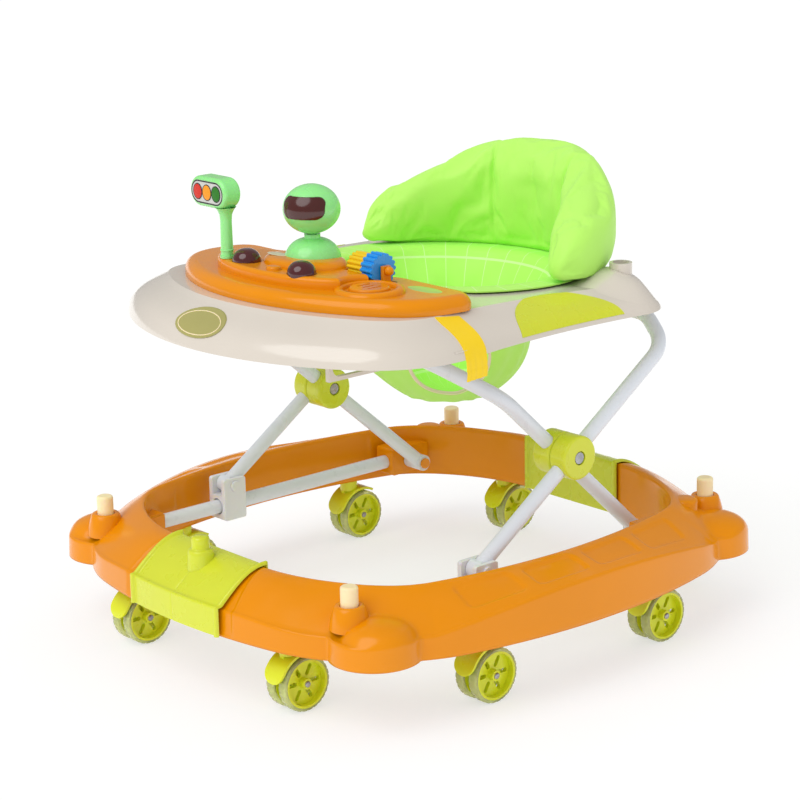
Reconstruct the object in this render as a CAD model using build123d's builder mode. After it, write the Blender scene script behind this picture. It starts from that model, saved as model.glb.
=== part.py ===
from build123d import *
import math
import os

# Baby walker in millimetres: +Z up, floor at z = 0, the child looks along -Y, the child's left is +X

# Base ring
ring_low = 77.0
ring_top = 141.0
band_height = 31.0
ring_half_width = 324.0
ring_half_length = 338.0
ring_bow = 740.0
ring_side_width = 60.0
ring_end_width = 66.0
ring_corner = 60.0
ring_inner_corner = 95.0
roof_run = 54.0
ring_wall = 3.0

# Corner bumps and pegs
bump_inset_x = 86.0
bump_inset_y = 84.0
bump_radius = 50.0
dome_inset_x = 76.0
dome_inset_y = 81.0
dome_radius = 36.0
dome_top = 121.0
dome_round = 12.0
peg_inset_x = 104.0
peg_inset_y = 66.0
peg_radius = 9.5
peg_height = 21.5
peg_depth = 34.0
peg_boss_radius = 15.0
peg_boss_top = 133.0
peg_fit = 0.3
peg_round = 3.0

# Couplers
coupler_half = 77.0
coupler_wall = 4.0
coupler_fit = 0.25
lip_wall = 6.5
lip_width = 5.0
coupler_boss_inset = 40.0
coupler_boss_radius = 14.0
coupler_boss_top = 148.0
coupler_stud_radius = 10.0
coupler_stud_top = 163.0

# Casters
wheel_radius = 31.0
wheel_width = 12.5
wheel_gap = 8.0
tyre_wall = 4.0
tyre_fit = 0.05
hub_web = 5.0
rim_wall = 2.5
spoke_slots = 6
axle_radius = 3.0
axle_fit = 0.08
axle_boss = 9.0
wheel_boss = 6.0
tab_round = 14.0
caster_trail = 10.5
yoke_web = 6.4
fender_gap = 2.0
fender_wall = 3.0
fender_width = 30.0
fender_start = 60.0
fender_end = 172.0
flange_radius = 11.0
flange_gap = 0.5
stem_radius = 5.0
stem_length = 38.0
stem_fit = 0.08
stem_boss_radius = 11.0
end_caster_x = 142.0
end_caster_inset = 46.0
side_caster_inset = 60.0
side_caster_y = 132.0

# Rails, brackets and sliders
tube_radius = 8.5
tube_wall = 1.4
rail_inset = 18.28957
rail_z = 104.0
rail_front_inset = 113.0
rail_rear_inset = 160.0
rail_fit = 0.1
block_half = 15.0
block_low = 88.0
socket_front_inset = 96.0
socket_rear_inset = 142.0
pillar_inset = 104.0
pillar_radius = 16.0
bracket_front_inset = 180.0
bracket_gap = 0.2
bracket_top = 122.0
slider_length = 32.0
slider_play = 1.5
cheek_gap = 0.4
cheek_top = 139.0
saddle_gap = 1.5
eye_radius = 10.0
pin_radius = 4.0
pin_fit = 0.08
pin_head_radius = 6.5
pin_head = 3.0

# Crossed leg frames, each step measured inwards from the rail
pivot_step = 34.0
pivot_inset = 29.0
pivot_z = 105.0
slider_y = -93.0
slider_z = 129.5
hub_y = 49.5
hub_z = 227.0
front_hub_step = 22.0
front_bend_y = -40.0
front_bend_radius = 60.0
front_cross_step = 72.0
front_cross_y = -112.0
front_cross_z = 358.0
rear_bend_y = 197.0
rear_bend_radius = 36.0
rear_cross_step = 37.0
rear_cross_y = 207.0
rear_cross_z = 356.0
hub_radius = 25.0
hub_split_step = 10.0
hub_split_gap = 0.4
hub_reach = 14.0
hub_round = 3.0
hub_recess_radius = 8.0
hub_seat = 1.5
hub_fit = 0.1

# Tray
rim_z = 374.0
tray_rise = 43.0
tray_fall = 0.045
tray_front_y = -303.0
tray_front_radius = 350.0
tray_front_sweep = 34.85
tray_shoulder_radius = 119.0
tray_shoulder_sweep = 65.15
tray_rear_x = 246.0
tray_rear_corner_y = 173.0
tray_rear_y = 264.0
tray_rear_radius = 50.0
tray_wall = 3.0
tray_plate_y = -239.0
tray_steps = ((0.0, 0.0), (2.5, 0.2), (18.0, 0.6), (48.0, 1.0))
seat_y = 68.0
seat_radius = 128.0
handle_x = 180.0
handle_y = 171.0
handle_radius = 13.0
handle_bore = 9.5
handle_rise = 22.0
handle_depth = 30.0
insert_x = 250.0
insert_y = 40.0
insert_length = 158.0
insert_reach = 66.0
insert_low = 5.0
insert_proud = 0.4
insert_deep = 1.2
insert_fit = 0.15
badge_z = 399.0
badge_width = 78.0
badge_height = 26.0
badge_wall = 0.9
strap_y = -115.0
strap_width = 34.0
strap_wall = 1.3
strap_gap = 0.3
strap_inner_x = 205.0
strap_tail = 10.0
track_inset = 25.0
track_wall = 6.0
track_play = 1.6
track_travel = 88.0
track_margin = 5.0
clip_x = 110.0
clip_width = 24.0
clip_length = 32.0
clip_wall = 5.0

# Seat
back_y = 72.0
back_radius = 163.0
back_thickness = 44.0
back_height = 136.0
back_tip_height = 16.0
back_tip_share = 0.45
back_start = 9.0
back_wing_turns = (20.0, 34.0)
back_sweep = 0.8
back_seam = 10.0
back_seam_turn = 58.0
back_seam_width = 8.0
back_sink = 6.0
back_draw = 0.7
back_belly = 0.45
back_crown = 0.7
back_neck = 0.86
back_gap = 0.3
sling_wall = 2.5
sling_gap = 0.4
sling_top = 402.0
sling_low = 256.0
sling_folds = 14
sling_steps = ((0.0, 0.42, 4.0), (0.12, 0.66, 5.0), (0.5, 0.9, 4.0), (1.0, 1.0, 0.5))
leg_radius = 46.0
leg_z = 322.0
leg_turn = 49.0

# Toy panel and toys
panel_front_y = -239.0
panel_front_radius = 270.0
panel_front_sweep = 39.2
panel_side_radius = 85.0
panel_side_sweep = 50.8
panel_rear_y = -62.0
panel_bay_radius = 152.0
panel_corner = 30.0
panel_rise = 17.0
panel_round = 13.0
panel_wall = 2.5
tier_x = -8.0
tier_y = -152.0
tier_half_x = 112.0
tier_half_y = 58.0
tier_rise = 12.0
tier_round = 5.0
button_x = 122.0
button_y = -152.0
button_radius = 27.0
button_top = 436.0
button_travel = 3.0
button_fit = 0.4
button_collar = 5.0
button_step = 5.0
button_slots = 3
button_slot_pitch = 9.0
button_slot_length = 19.0
dome_button_x = 48.0
dome_button_y = -184.0
dome_button_radius = 16.0
dome_button_rise = 14.0
dome_button_depth = 12.0
spinner_x = 90.0
spinner_y = -112.0
spinner_z = 444.0
spinner_radius = 18.0
spinner_width = 18.0
spinner_teeth = 16
drum_radius = 15.0
drum_width = 24.0
spinner_pin = 3.0
tooth_height = 2.2
spinner_gap = 1.5
ear_wall = 5.0
post_x = -75.0
post_y = -190.0
post_radius = 5.5
post_collar = 8.0
post_depth = 14.0
post_fit = 0.1
post_flange = 3.0
post_flange_rise = 0.5
signal_x = -92.0
signal_z = 516.5
signal_length = 65.0
signal_height = 34.0
signal_depth = 24.0
signal_plate = 1.5
signal_border = 8.0
signal_round = 5.0
figure_y = -129.0
bust_radius = 31.0
bust_height = 27.0
bust_sink = 4.0
shoulder_radius = 26.0
shoulder_height = 18.0
neck_radius = 9.0
neck_height = 5.0
head_radius = 32.0
head_height = 55.0
head_pin = 5.0
head_pin_length = 14.0
head_gap = 0.5
visor_half = 24.0
visor_height = 24.0
visor_proud = 0.6
visor_deep = 2.0
visor_round = 9.0
visor_lift = 5.0
visor_turn = 29.0
module_length = 74.0
module_width = 44.0
module_height = 9.0

# Places that follow the ring's width and length
bump_x = ring_half_width - bump_inset_x
bump_y = ring_half_length - bump_inset_y
dome_x = ring_half_width - dome_inset_x
dome_y = ring_half_length - dome_inset_y
peg_x = ring_half_width - peg_inset_x
peg_y = ring_half_length - peg_inset_y
coupler_boss_y = ring_half_length - coupler_boss_inset
end_caster_y = ring_half_length - end_caster_inset
side_caster_x = ring_half_width - side_caster_inset
rail_front_y = rail_front_inset - ring_half_length
rail_rear_y = ring_half_length - rail_rear_inset
socket_front_y = socket_front_inset - ring_half_length
socket_rear_y = socket_rear_inset - ring_half_length
pillar_y = ring_half_length - pillar_inset
bracket_front_y = ring_half_length - bracket_front_inset

# The rail keeps its distance from the ring's inner wall at its rear end, and the legs follow the rail
inner_bow = ring_bow - ring_side_width
rail_x = math.sqrt(inner_bow ** 2 - rail_rear_y ** 2) - ring_bow + ring_half_width - rail_inset
front_pivot = (rail_x - pivot_step, bracket_front_y + pivot_inset, pivot_z)
slider_pivot = (rail_x, slider_y, slider_z)
front_hub_x = rail_x - front_hub_step
front_cross = (rail_x - front_cross_step, front_cross_y, front_cross_z)
rear_cross = (rail_x - rear_cross_step, rear_cross_y, rear_cross_z)
hub_split_x = rail_x - hub_split_step
hub_outer_x = rail_x + hub_reach
hub_inner_x = front_hub_x - hub_reach
track_x = front_cross[0] - track_inset

sides = (1, -1)
corners = [(sx, sy) for sx in sides for sy in sides]
upright = (Align.CENTER, Align.CENTER, Align.MIN)
slab = 2000.0


def on_line(start, through, y):
    share = (y - start[1]) / (through[1] - start[1])
    return tuple(a + share * (b - a) for a, b in zip(start, through))


def flip(point):
    return (-point[0], point[1], point[2])


def save(piece, name):
    piece.part.label = name
    export_step(piece.part, f"parts/{name}.step")


# Plan of the ring, grown outwards and inwards by the same amount
def ring_plan(grow):
    reach = ring_bow - ring_half_width
    end_reach = ring_bow - ring_half_length
    inner = ring_bow - ring_side_width - grow
    with BuildSketch() as outer:
        Circle(ring_bow + grow)
        for x, y in ((reach, 0), (-reach, 0), (0, end_reach), (0, -end_reach)):
            with Locations((x, y)):
                Circle(ring_bow + grow, mode=Mode.INTERSECT)
        fillet(outer.vertices(), ring_corner + grow)
    with BuildSketch() as hole:
        Rectangle(2 * ring_half_width, 2 * (ring_half_length - ring_end_width - grow))
        for x in (reach, -reach):
            with Locations((x, 0)):
                Circle(inner, mode=Mode.INTERSECT)
        fillet(hole.vertices(), ring_inner_corner - grow)
    return outer.sketch, hole.sketch


# Ring as a solid bar: an upright band below, a roof that leans in above it
def ring_body(grow, low):
    outer, hole = ring_plan(grow)
    crease = ring_low + band_height
    drop = ring_top + grow - crease
    with BuildPart() as body:
        with BuildSketch(Plane.XY.offset(low)):
            add(outer)
        extrude(amount=crease - low)
        with BuildSketch(Plane.XY.offset(crease)):
            add(outer)
        extrude(amount=drop, taper=math.degrees(math.atan2(roof_run, drop)))
        with BuildSketch(Plane.XY.offset(low)):
            add(hole)
        extrude(amount=ring_top + grow - low, mode=Mode.SUBTRACT)
    return body.part


# Domed bump on each corner, under and outside its peg, that stops at the ring's inner wall
def corner_bumps(grow):
    with BuildPart() as bumps:
        with Locations(*[(sx * bump_x, sy * bump_y, ring_low) for sx, sy in corners]):
            Cylinder(bump_radius + grow, band_height + grow, align=upright)
        with Locations(*[(sx * dome_x, sy * dome_y, ring_low) for sx, sy in corners]):
            Cylinder(dome_radius + grow, dome_top - ring_low + grow, align=upright)
        rims = bumps.faces().filter_by(Axis.Z).group_by(Axis.Z)[-1].edges()
        fillet(rims, dome_round)
        with BuildSketch(Plane.XY.offset(ring_low)):
            add(ring_plan(grow)[1])
        extrude(amount=ring_top - ring_low, mode=Mode.SUBTRACT)
    return bumps.part


caster_spots = {
    "front_left": (end_caster_x, -end_caster_y),
    "front_right": (-end_caster_x, -end_caster_y),
    "side_front_left": (side_caster_x, -side_caster_y),
    "side_front_right": (-side_caster_x, -side_caster_y),
    "side_rear_left": (side_caster_x, side_caster_y),
    "side_rear_right": (-side_caster_x, side_caster_y),
    "rear_left": (end_caster_x, end_caster_y),
    "rear_right": (-end_caster_x, end_caster_y),
}

os.makedirs("parts", exist_ok=True)

# Base ring: a thin shell, open below, with bosses for what plugs into it
with BuildPart() as base_ring:
    add(ring_body(0, ring_low))
    add(corner_bumps(0))
    add(ring_body(-ring_wall, 0), mode=Mode.SUBTRACT)
    add(corner_bumps(-ring_wall), mode=Mode.SUBTRACT)
    with Locations(*[(sx * peg_x, sy * peg_y, ring_low) for sx, sy in corners]):
        Cylinder(peg_boss_radius, peg_boss_top - ring_low, align=upright)
    with Locations(*[(x, y, ring_low) for x, y in caster_spots.values()]):
        Cylinder(stem_boss_radius, stem_length + ring_wall, align=upright)
    for sx in sides:
        with BuildSketch(Plane.XZ.offset(-socket_front_y)):
            with Locations((sx * rail_x, rail_z)):
                RectangleRounded(2 * block_half, 2 * block_half, ring_wall)
        extrude(amount=socket_front_y - socket_rear_y)
        with Locations((sx * rail_x, pillar_y, ring_low)):
            Cylinder(pillar_radius, ring_top - ring_wall - ring_low, align=upright)
        with Locations(Location((sx * rail_x, rail_front_y, rail_z), (-90, 0, 0))):
            Cylinder(tube_radius + rail_fit, socket_rear_y - rail_front_y, align=upright, mode=Mode.SUBTRACT)
    with Locations(*[(sx * peg_x, sy * peg_y, peg_boss_top) for sx, sy in corners]):
        Cylinder(peg_radius + peg_fit, peg_depth, align=(Align.CENTER, Align.CENTER, Align.MAX),
                 mode=Mode.SUBTRACT)
    with Locations(*[(x, y, ring_low) for x, y in caster_spots.values()]):
        Cylinder(stem_radius + stem_fit, stem_length, align=upright, mode=Mode.SUBTRACT)

# Two halves of the ring meet at the middle, under the couplers
with BuildPart() as base_left_half:
    add(base_ring.part)
    split(bisect_by=Plane.YZ, keep=Keep.TOP)
save(base_left_half, "base_left_half")

with BuildPart() as base_right_half:
    add(base_ring.part)
    split(bisect_by=Plane.YZ, keep=Keep.BOTTOM)
save(base_right_half, "base_right_half")

# Pegs, pushed into the corner bosses
peg_corners = ((1, -1, "front_left"), (-1, -1, "front_right"), (1, 1, "rear_left"), (-1, 1, "rear_right"))
for sx, sy, name in peg_corners:
    with BuildPart() as corner_peg:
        with Locations((sx * peg_x, sy * peg_y, peg_boss_top - peg_depth)):
            Cylinder(peg_radius, peg_depth + peg_height, align=upright)
        fillet(corner_peg.edges().group_by(Axis.Z)[-1], peg_round)
    save(corner_peg, f"corner_peg_{name}")

# Couplers: sleeves over the seam, with a raised lip at each end
for sign, name in ((-1, "front_coupler"), (1, "rear_coupler")):
    with BuildPart() as coupler:
        add(ring_body(coupler_wall, ring_low))
        with Locations((0, sign * slab / 4, ring_low)):
            Box(2 * coupler_half, slab / 2, slab, mode=Mode.INTERSECT)
        with BuildPart(mode=Mode.PRIVATE) as lips:
            add(ring_body(lip_wall, ring_low))
            with Locations(*[(sx * coupler_half, sign * slab / 4, ring_low) for sx in sides]):
                Box(lip_width, slab / 2, slab, mode=Mode.INTERSECT)
        add(lips.part)
        if sign < 0:
            with Locations((0, sign * coupler_boss_y, ring_low)):
                Cylinder(coupler_boss_radius, coupler_boss_top - ring_low, align=upright)
                Cylinder(coupler_stud_radius, coupler_stud_top - ring_low, align=upright)
        add(ring_body(coupler_fit, 0), mode=Mode.SUBTRACT)
    save(coupler, name)

# Caster pieces about the stem's axis: the wheels trail behind it
along_x = (0, 90, 0)
axle_at = (caster_trail, wheel_radius)
fender_inner = wheel_radius + fender_gap
fender_top = wheel_radius + fender_inner + fender_wall
with BuildPart() as yoke_shape:
    with BuildSketch(Plane.YZ.offset(-fender_width / 2)):
        with BuildLine():
            outer_arc = CenterArc(axle_at, fender_inner + fender_wall, fender_start,
                                  fender_end - fender_start)
            inner_arc = CenterArc(axle_at, fender_inner, fender_start, fender_end - fender_start)
            Line(outer_arc @ 0, inner_arc @ 0)
            Line(outer_arc @ 1, inner_arc @ 1)
        make_face()
    extrude(amount=fender_width)
    tab = yoke_shape.faces().sort_by(Axis.Z)[0].edges().sort_by(Edge.length)[:2]
    fillet(tab, tab_round)
    with BuildSketch(Plane.YZ.offset(-yoke_web / 2)):
        with Locations(axle_at):
            Circle(axle_boss)
        with BuildLine():
            Polyline((caster_trail - axle_boss, wheel_radius), (caster_trail + axle_boss, wheel_radius),
                     (flange_radius, fender_top - fender_wall), (-flange_radius, fender_top - fender_wall),
                     close=True)
        make_face()
    extrude(amount=yoke_web)
    with Locations((0, 0, fender_top - fender_wall)):
        Cylinder(flange_radius, ring_low - flange_gap - fender_top + fender_wall, align=upright)
        Cylinder(stem_radius, ring_low + stem_length - flange_gap - fender_top + fender_wall, align=upright)
    with Locations(Location((0, *axle_at), along_x)):
        Cylinder(axle_radius + axle_fit, fender_width, mode=Mode.SUBTRACT)

rim_radius = wheel_radius - tyre_wall - tyre_fit
wheel_start = wheel_gap / 2
with BuildPart() as wheel_shape:
    with Locations(Location((wheel_start, *axle_at), along_x)):
        Cylinder(rim_radius, wheel_width, align=upright)
    with BuildSketch(Plane.YZ.offset(wheel_start + hub_web)):
        with Locations(axle_at):
            Circle(rim_radius - rim_wall)
            Circle(wheel_boss, mode=Mode.SUBTRACT)
    extrude(amount=wheel_width, mode=Mode.SUBTRACT)
    with BuildSketch(Plane.YZ.offset(wheel_start)):
        with Locations(axle_at):
            with PolarLocations((rim_radius + axle_radius) / 2, spoke_slots):
                SlotOverall(rim_radius / 2, 2 * rim_wall)
    extrude(amount=wheel_width, mode=Mode.SUBTRACT)
    with Locations(Location((0, *axle_at), along_x)):
        Cylinder(axle_radius + tyre_fit, 2 * wheel_width + wheel_gap, mode=Mode.SUBTRACT)
    mirror(about=Plane.YZ)
    with Locations(Location((0, *axle_at), along_x)):
        Cylinder(axle_radius, 2 * wheel_width + wheel_gap)

with BuildPart() as tyre_shape:
    with Locations(Location((wheel_start, *axle_at), along_x)):
        Cylinder(wheel_radius, wheel_width, align=upright)
    fillet(tyre_shape.edges().filter_by(GeomType.CIRCLE), tyre_wall / 2)
    with Locations(Location((0, *axle_at), along_x)):
        Cylinder(wheel_radius - tyre_wall, 4 * wheel_width, mode=Mode.SUBTRACT)
    mirror(about=Plane.YZ)

for spot, (x, y) in caster_spots.items():
    for shape, role in ((yoke_shape, "yoke"), (wheel_shape, "wheels"), (tyre_shape, "tyres")):
        with BuildPart() as caster_piece:
            with Locations((x, y, 0)):
                add(shape.part)
        save(caster_piece, f"{spot}_caster_{role}")

# Guide rails along the inside of the ring
with BuildPart() as guide_rails:
    with Locations(*[Location((sx * rail_x, rail_front_y, rail_z), (-90, 0, 0)) for sx in sides]):
        Cylinder(tube_radius, rail_rear_y - rail_front_y, align=upright)
        Cylinder(tube_radius - tube_wall, rail_rear_y - rail_front_y, align=upright, mode=Mode.SUBTRACT)
save(guide_rails, "guide_rails")

# Blocks that hold the rails' rear ends and the pivots of the front leg frame
bracket_rear_y = pillar_y - pillar_radius - bracket_gap
bracket_length = bracket_rear_y - bracket_front_y
bracket_inner_x = rail_x - block_half
eye_inner_x = front_pivot[0] - tube_radius - cheek_gap
with BuildPart() as pivot_brackets:
    with Locations((rail_x, bracket_front_y + bracket_length / 2, block_low)):
        Box(2 * block_half, bracket_length, bracket_top - block_low, align=upright)
    fillet(pivot_brackets.edges().filter_by(Axis.X), ring_wall)
    with Locations(Location((rail_x, bracket_front_y, rail_z), (-90, 0, 0))):
        Cylinder(tube_radius + rail_fit, rail_rear_y - bracket_front_y + rail_fit, align=upright,
                 mode=Mode.SUBTRACT)
    with Locations(Location((bracket_inner_x, *front_pivot[1:]), along_x)):
        Cylinder(pin_radius + pin_fit, block_half, align=upright, mode=Mode.SUBTRACT)
    with Locations(Location((eye_inner_x - cheek_gap, *front_pivot[1:]), along_x)):
        Cylinder(pin_radius, bracket_inner_x + block_half - eye_inner_x, align=upright)
    with Locations(Location((eye_inner_x - cheek_gap, *front_pivot[1:]), (0, -90, 0))):
        Cylinder(pin_head_radius, pin_head, align=upright)
    mirror(about=Plane.YZ)
    add(ring_body(bracket_gap, 0), mode=Mode.SUBTRACT)
save(pivot_brackets, "pivot_brackets")

# Sliders run on the rails and carry the rear leg frame's lower ends
slide_y, slide_z = slider_pivot[1:]
saddle_top = slide_z - eye_radius - saddle_gap
cheek_inner = tube_radius + cheek_gap
with BuildPart() as rail_sliders:
    with Locations((rail_x, slide_y, block_low)):
        Box(2 * block_half, slider_length, cheek_top - block_low, align=upright)
    fillet(rail_sliders.edges().filter_by(Axis.X), ring_wall)
    with Locations((rail_x, slide_y, saddle_top)):
        Box(2 * cheek_inner, slider_length, cheek_top, align=upright, mode=Mode.SUBTRACT)
    with Locations(Location((rail_x, slide_y, rail_z), (90, 0, 0))):
        Cylinder(tube_radius + slider_play, slider_length, mode=Mode.SUBTRACT)
    with Locations(Location((rail_x, slide_y, slide_z), along_x)):
        Cylinder(pin_radius + pin_fit, 2 * block_half, mode=Mode.SUBTRACT)
        Cylinder(pin_radius, 2 * block_half)
    heads = [Location((rail_x + sx * block_half, slide_y, slide_z), (0, sx * 90, 0)) for sx in sides]
    with Locations(*heads):
        Cylinder(pin_head_radius, pin_head, align=upright)
    mirror(about=Plane.YZ)
save(rail_sliders, "rail_sliders")

# Leg frames: each is one bent tube, up one side, across under the tray and down the other side
rear_hub = (rail_x, hub_y, hub_z)
front_hub = (front_hub_x, hub_y, hub_z)
rear_bend = on_line(slider_pivot, rear_hub, rear_bend_y)
front_bend = on_line(front_pivot, front_hub, front_bend_y)


def leg_frame(foot, bend, cross, radius, eye_start, eye_end):
    points = [foot, bend, cross, flip(cross), flip(bend), flip(foot)]
    with BuildPart() as frame:
        with BuildLine() as path:
            FilletPolyline(*points, radius=radius)
        with BuildSketch(Plane(origin=path.line @ 0, z_dir=path.line % 0)):
            Circle(tube_radius)
            Circle(tube_radius - tube_wall, mode=Mode.SUBTRACT)
        sweep()
        for sx in sides:
            with Locations(Location((sx * eye_start, *foot[1:]), (0, sx * 90, 0))):
                Cylinder(eye_radius, eye_end - eye_start, align=upright)
        for y, z in (foot[1:], (hub_y, hub_z)):
            with Locations(Location((0, y, z), along_x)):
                Cylinder(pin_radius + pin_fit, slab, mode=Mode.SUBTRACT)
    return frame


rear_leg_frame = leg_frame(slider_pivot, rear_bend, rear_cross, rear_bend_radius,
                           rail_x - tube_radius, rail_x + tube_radius)
save(rear_leg_frame, "rear_leg_frame")
front_leg_frame = leg_frame(front_pivot, front_bend, front_cross, front_bend_radius,
                            eye_inner_x, bracket_inner_x - cheek_gap)
save(front_leg_frame, "front_leg_frame")


# Half hubs: a disc on each tube, with a channel for the tube and a bolt through both
def half_hub(start_x, end_x, foot, hub, recess_x, recess_turn):
    direction = Vector(*hub) - Vector(*foot)
    recess_depth = abs(recess_x - hub[0]) - tube_radius - hub_seat
    with BuildPart() as disc:
        with Locations(Location((start_x, hub_y, hub_z), along_x)):
            Cylinder(hub_radius, end_x - start_x, align=upright)
        fillet(disc.edges().filter_by(GeomType.CIRCLE), hub_round)
        with Locations(Plane(origin=hub, z_dir=direction)):
            Cylinder(tube_radius + hub_fit, 4 * hub_radius, mode=Mode.SUBTRACT)
        with Locations(Location((start_x, hub_y, hub_z), along_x)):
            Cylinder(pin_radius + pin_fit, 2 * hub_radius, align=upright, mode=Mode.SUBTRACT)
        with Locations(Location((recess_x, hub_y, hub_z), recess_turn)):
            Cylinder(hub_recess_radius, recess_depth, align=upright, mode=Mode.SUBTRACT)
        mirror(about=Plane.YZ)
    return disc


hub_caps = half_hub(hub_split_x + hub_split_gap / 2, hub_outer_x, slider_pivot, rear_hub, hub_outer_x,
                    (0, -90, 0))
save(hub_caps, "hub_caps")
hub_cups = half_hub(hub_inner_x, hub_split_x - hub_split_gap / 2, front_pivot, front_hub, hub_inner_x,
                    along_x)
save(hub_cups, "hub_cups")

with BuildPart() as hub_bolts:
    bolt_start = front_hub_x - tube_radius - hub_seat - pin_head
    bolt_end = rail_x + tube_radius + hub_seat + pin_head
    with Locations(Location((bolt_start, hub_y, hub_z), along_x)):
        Cylinder(pin_radius, bolt_end - bolt_start, align=upright)
        Cylinder(pin_head_radius, pin_head - hub_fit, align=upright)
    with Locations(Location((bolt_end, hub_y, hub_z), (0, -90, 0))):
        Cylinder(pin_head_radius, pin_head - hub_fit, align=upright)
    mirror(about=Plane.YZ)
save(hub_bolts, "hub_bolts")


# Height of the tray's top plate, which falls gently towards the back
def plate_z(y):
    return rim_z + tray_rise - tray_fall * (y - tray_plate_y)


# Plane that lies along the plate from tray_rise upwards, and levels out towards the rim
def tray_plane(rise):
    share = min(1.0, rise / tray_rise)
    return Plane(origin=(0, tray_plate_y, rim_z + rise), x_dir=(1, 0, 0), z_dir=(0, tray_fall * share, 1))


# Outline of the tray, drawn in by an inset and measured from the plate's front
def tray_outline(inset):
    with BuildSketch() as outline:
        with BuildLine():
            front = JernArc((0, tray_front_y - tray_plate_y + inset), (1, 0), tray_front_radius - inset,
                            tray_front_sweep)
            shoulder = JernArc(front @ 1, front % 1, tray_shoulder_radius - inset, tray_shoulder_sweep)
            corner = (tray_rear_x - inset, tray_rear_corner_y - tray_plate_y - inset / 2)
            TangentArc(shoulder @ 1, corner, tangent=shoulder % 1)
            TangentArc((0, tray_rear_y - tray_plate_y - inset), corner, tangent=(1, 0))
            mirror(about=Plane.YZ)
        make_face()
        tips = outline.vertices().sort_by(lambda v: abs(v.Y - corner[1]))[:2]
        fillet(tips, tray_rear_radius - inset / 2)
    return outline.sketch


# Tray as a full body, grown evenly
def tray_body(grow):
    with BuildPart() as body:
        for inset, share in tray_steps:
            with BuildSketch(tray_plane(share * (tray_rise + grow))):
                add(tray_outline(inset - grow))
        loft()
    return body.part


tray_outer = tray_body(0)
tray_inner = tray_body(-tray_wall)
seat_hole_low = rim_z - tray_rise


# Half oval on each side of the tray, standing from just above the rim
def insert_prism(grow):
    with BuildPart() as prism:
        with BuildSketch(Plane.XY.offset(rim_z + insert_low - grow)):
            with Locations(*[(sx * insert_x, insert_y) for sx in sides]):
                Ellipse(insert_reach + grow, insert_length / 2 + grow)
        extrude(amount=2 * tray_rise)
    return prism.part


# Tray shell, open below, with the seat hole and two sockets for a push handle
with BuildPart() as tray_shell:
    add(tray_outer)
    add(tray_inner, mode=Mode.SUBTRACT)
    handle_top = plate_z(handle_y) + handle_rise
    with Locations(*[(sx * handle_x, handle_y, handle_top) for sx in sides]):
        Cylinder(handle_radius, handle_depth + tray_wall, align=(Align.CENTER, Align.CENTER, Align.MAX))
        Cylinder(handle_bore, handle_depth, align=(Align.CENTER, Align.CENTER, Align.MAX), mode=Mode.SUBTRACT)
    with Locations((0, seat_y, seat_hole_low)):
        Cylinder(seat_radius, 4 * tray_rise, align=upright, mode=Mode.SUBTRACT)
    with BuildPart(mode=Mode.PRIVATE) as recess:
        add(insert_prism(insert_fit))
        add(tray_body(-insert_deep), mode=Mode.SUBTRACT)
    add(recess.part, mode=Mode.SUBTRACT)
save(tray_shell, "tray_shell")

with BuildPart() as tray_side_inserts:
    add(tray_body(insert_proud))
    add(insert_prism(0), mode=Mode.INTERSECT)
    add(tray_body(insert_fit - insert_deep), mode=Mode.SUBTRACT)
save(tray_side_inserts, "tray_side_inserts")

# Bare oval plate on the front of the tray
with BuildPart() as tray_badge:
    add(tray_body(badge_wall))
    with BuildSketch(Plane.XZ.offset(-tray_plate_y)):
        with Locations((0, badge_z)):
            Ellipse(badge_width / 2, badge_height / 2)
    extrude(amount=2 * tray_rise, mode=Mode.INTERSECT)
    add(tray_body(insert_fit), mode=Mode.SUBTRACT)
save(tray_badge, "tray_badge")

# Flat strap that lies over the tray's left side and hangs below the rim
with BuildPart() as tray_strap:
    add(tray_body(strap_gap + strap_wall))
    with BuildSketch(tray_plane(-strap_tail)):
        add(tray_outline(-strap_gap - strap_wall))
    extrude(amount=strap_tail)
    with Locations((strap_inner_x, strap_y, rim_z - strap_tail)):
        Box(tray_rear_x, strap_width, 2 * tray_rise, align=(Align.MIN, Align.CENTER, Align.MIN),
            mode=Mode.INTERSECT)
    add(tray_body(strap_gap), mode=Mode.SUBTRACT)
    with BuildSketch(tray_plane(-strap_tail)):
        add(tray_outline(-strap_gap))
    extrude(amount=strap_tail, mode=Mode.SUBTRACT)
save(tray_strap, "tray_strap")

# Guides under the tray in which the front cross tube slides forwards as the walker folds
slot_half = tube_radius + track_play
cross_y, cross_z = front_cross[1:]
track_front = cross_y - track_travel - slot_half - track_margin
track_rear = cross_y + slot_half + track_margin
track_low = cross_z - slot_half - track_margin
with BuildPart() as front_tracks:
    with Locations(*[(sx * track_x, (track_front + track_rear) / 2, rim_z) for sx in sides]):
        Box(track_wall, track_rear - track_front, 2 * tray_rise, align=upright)
    add(tray_body(-tray_wall - insert_fit), mode=Mode.INTERSECT)
    with Locations(*[(sx * track_x, (track_front + track_rear) / 2, rim_z) for sx in sides]):
        Box(track_wall, track_rear - track_front, rim_z - track_low,
            align=(Align.CENTER, Align.CENTER, Align.MAX))
    with BuildSketch(Plane.YZ.offset(-slab / 2)):
        with Locations((cross_y - track_travel / 2, cross_z - track_play / 2)):
            SlotCenterToCenter(track_travel, 2 * slot_half)
    extrude(amount=slab, mode=Mode.SUBTRACT)
save(front_tracks, "front_tracks")

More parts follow.
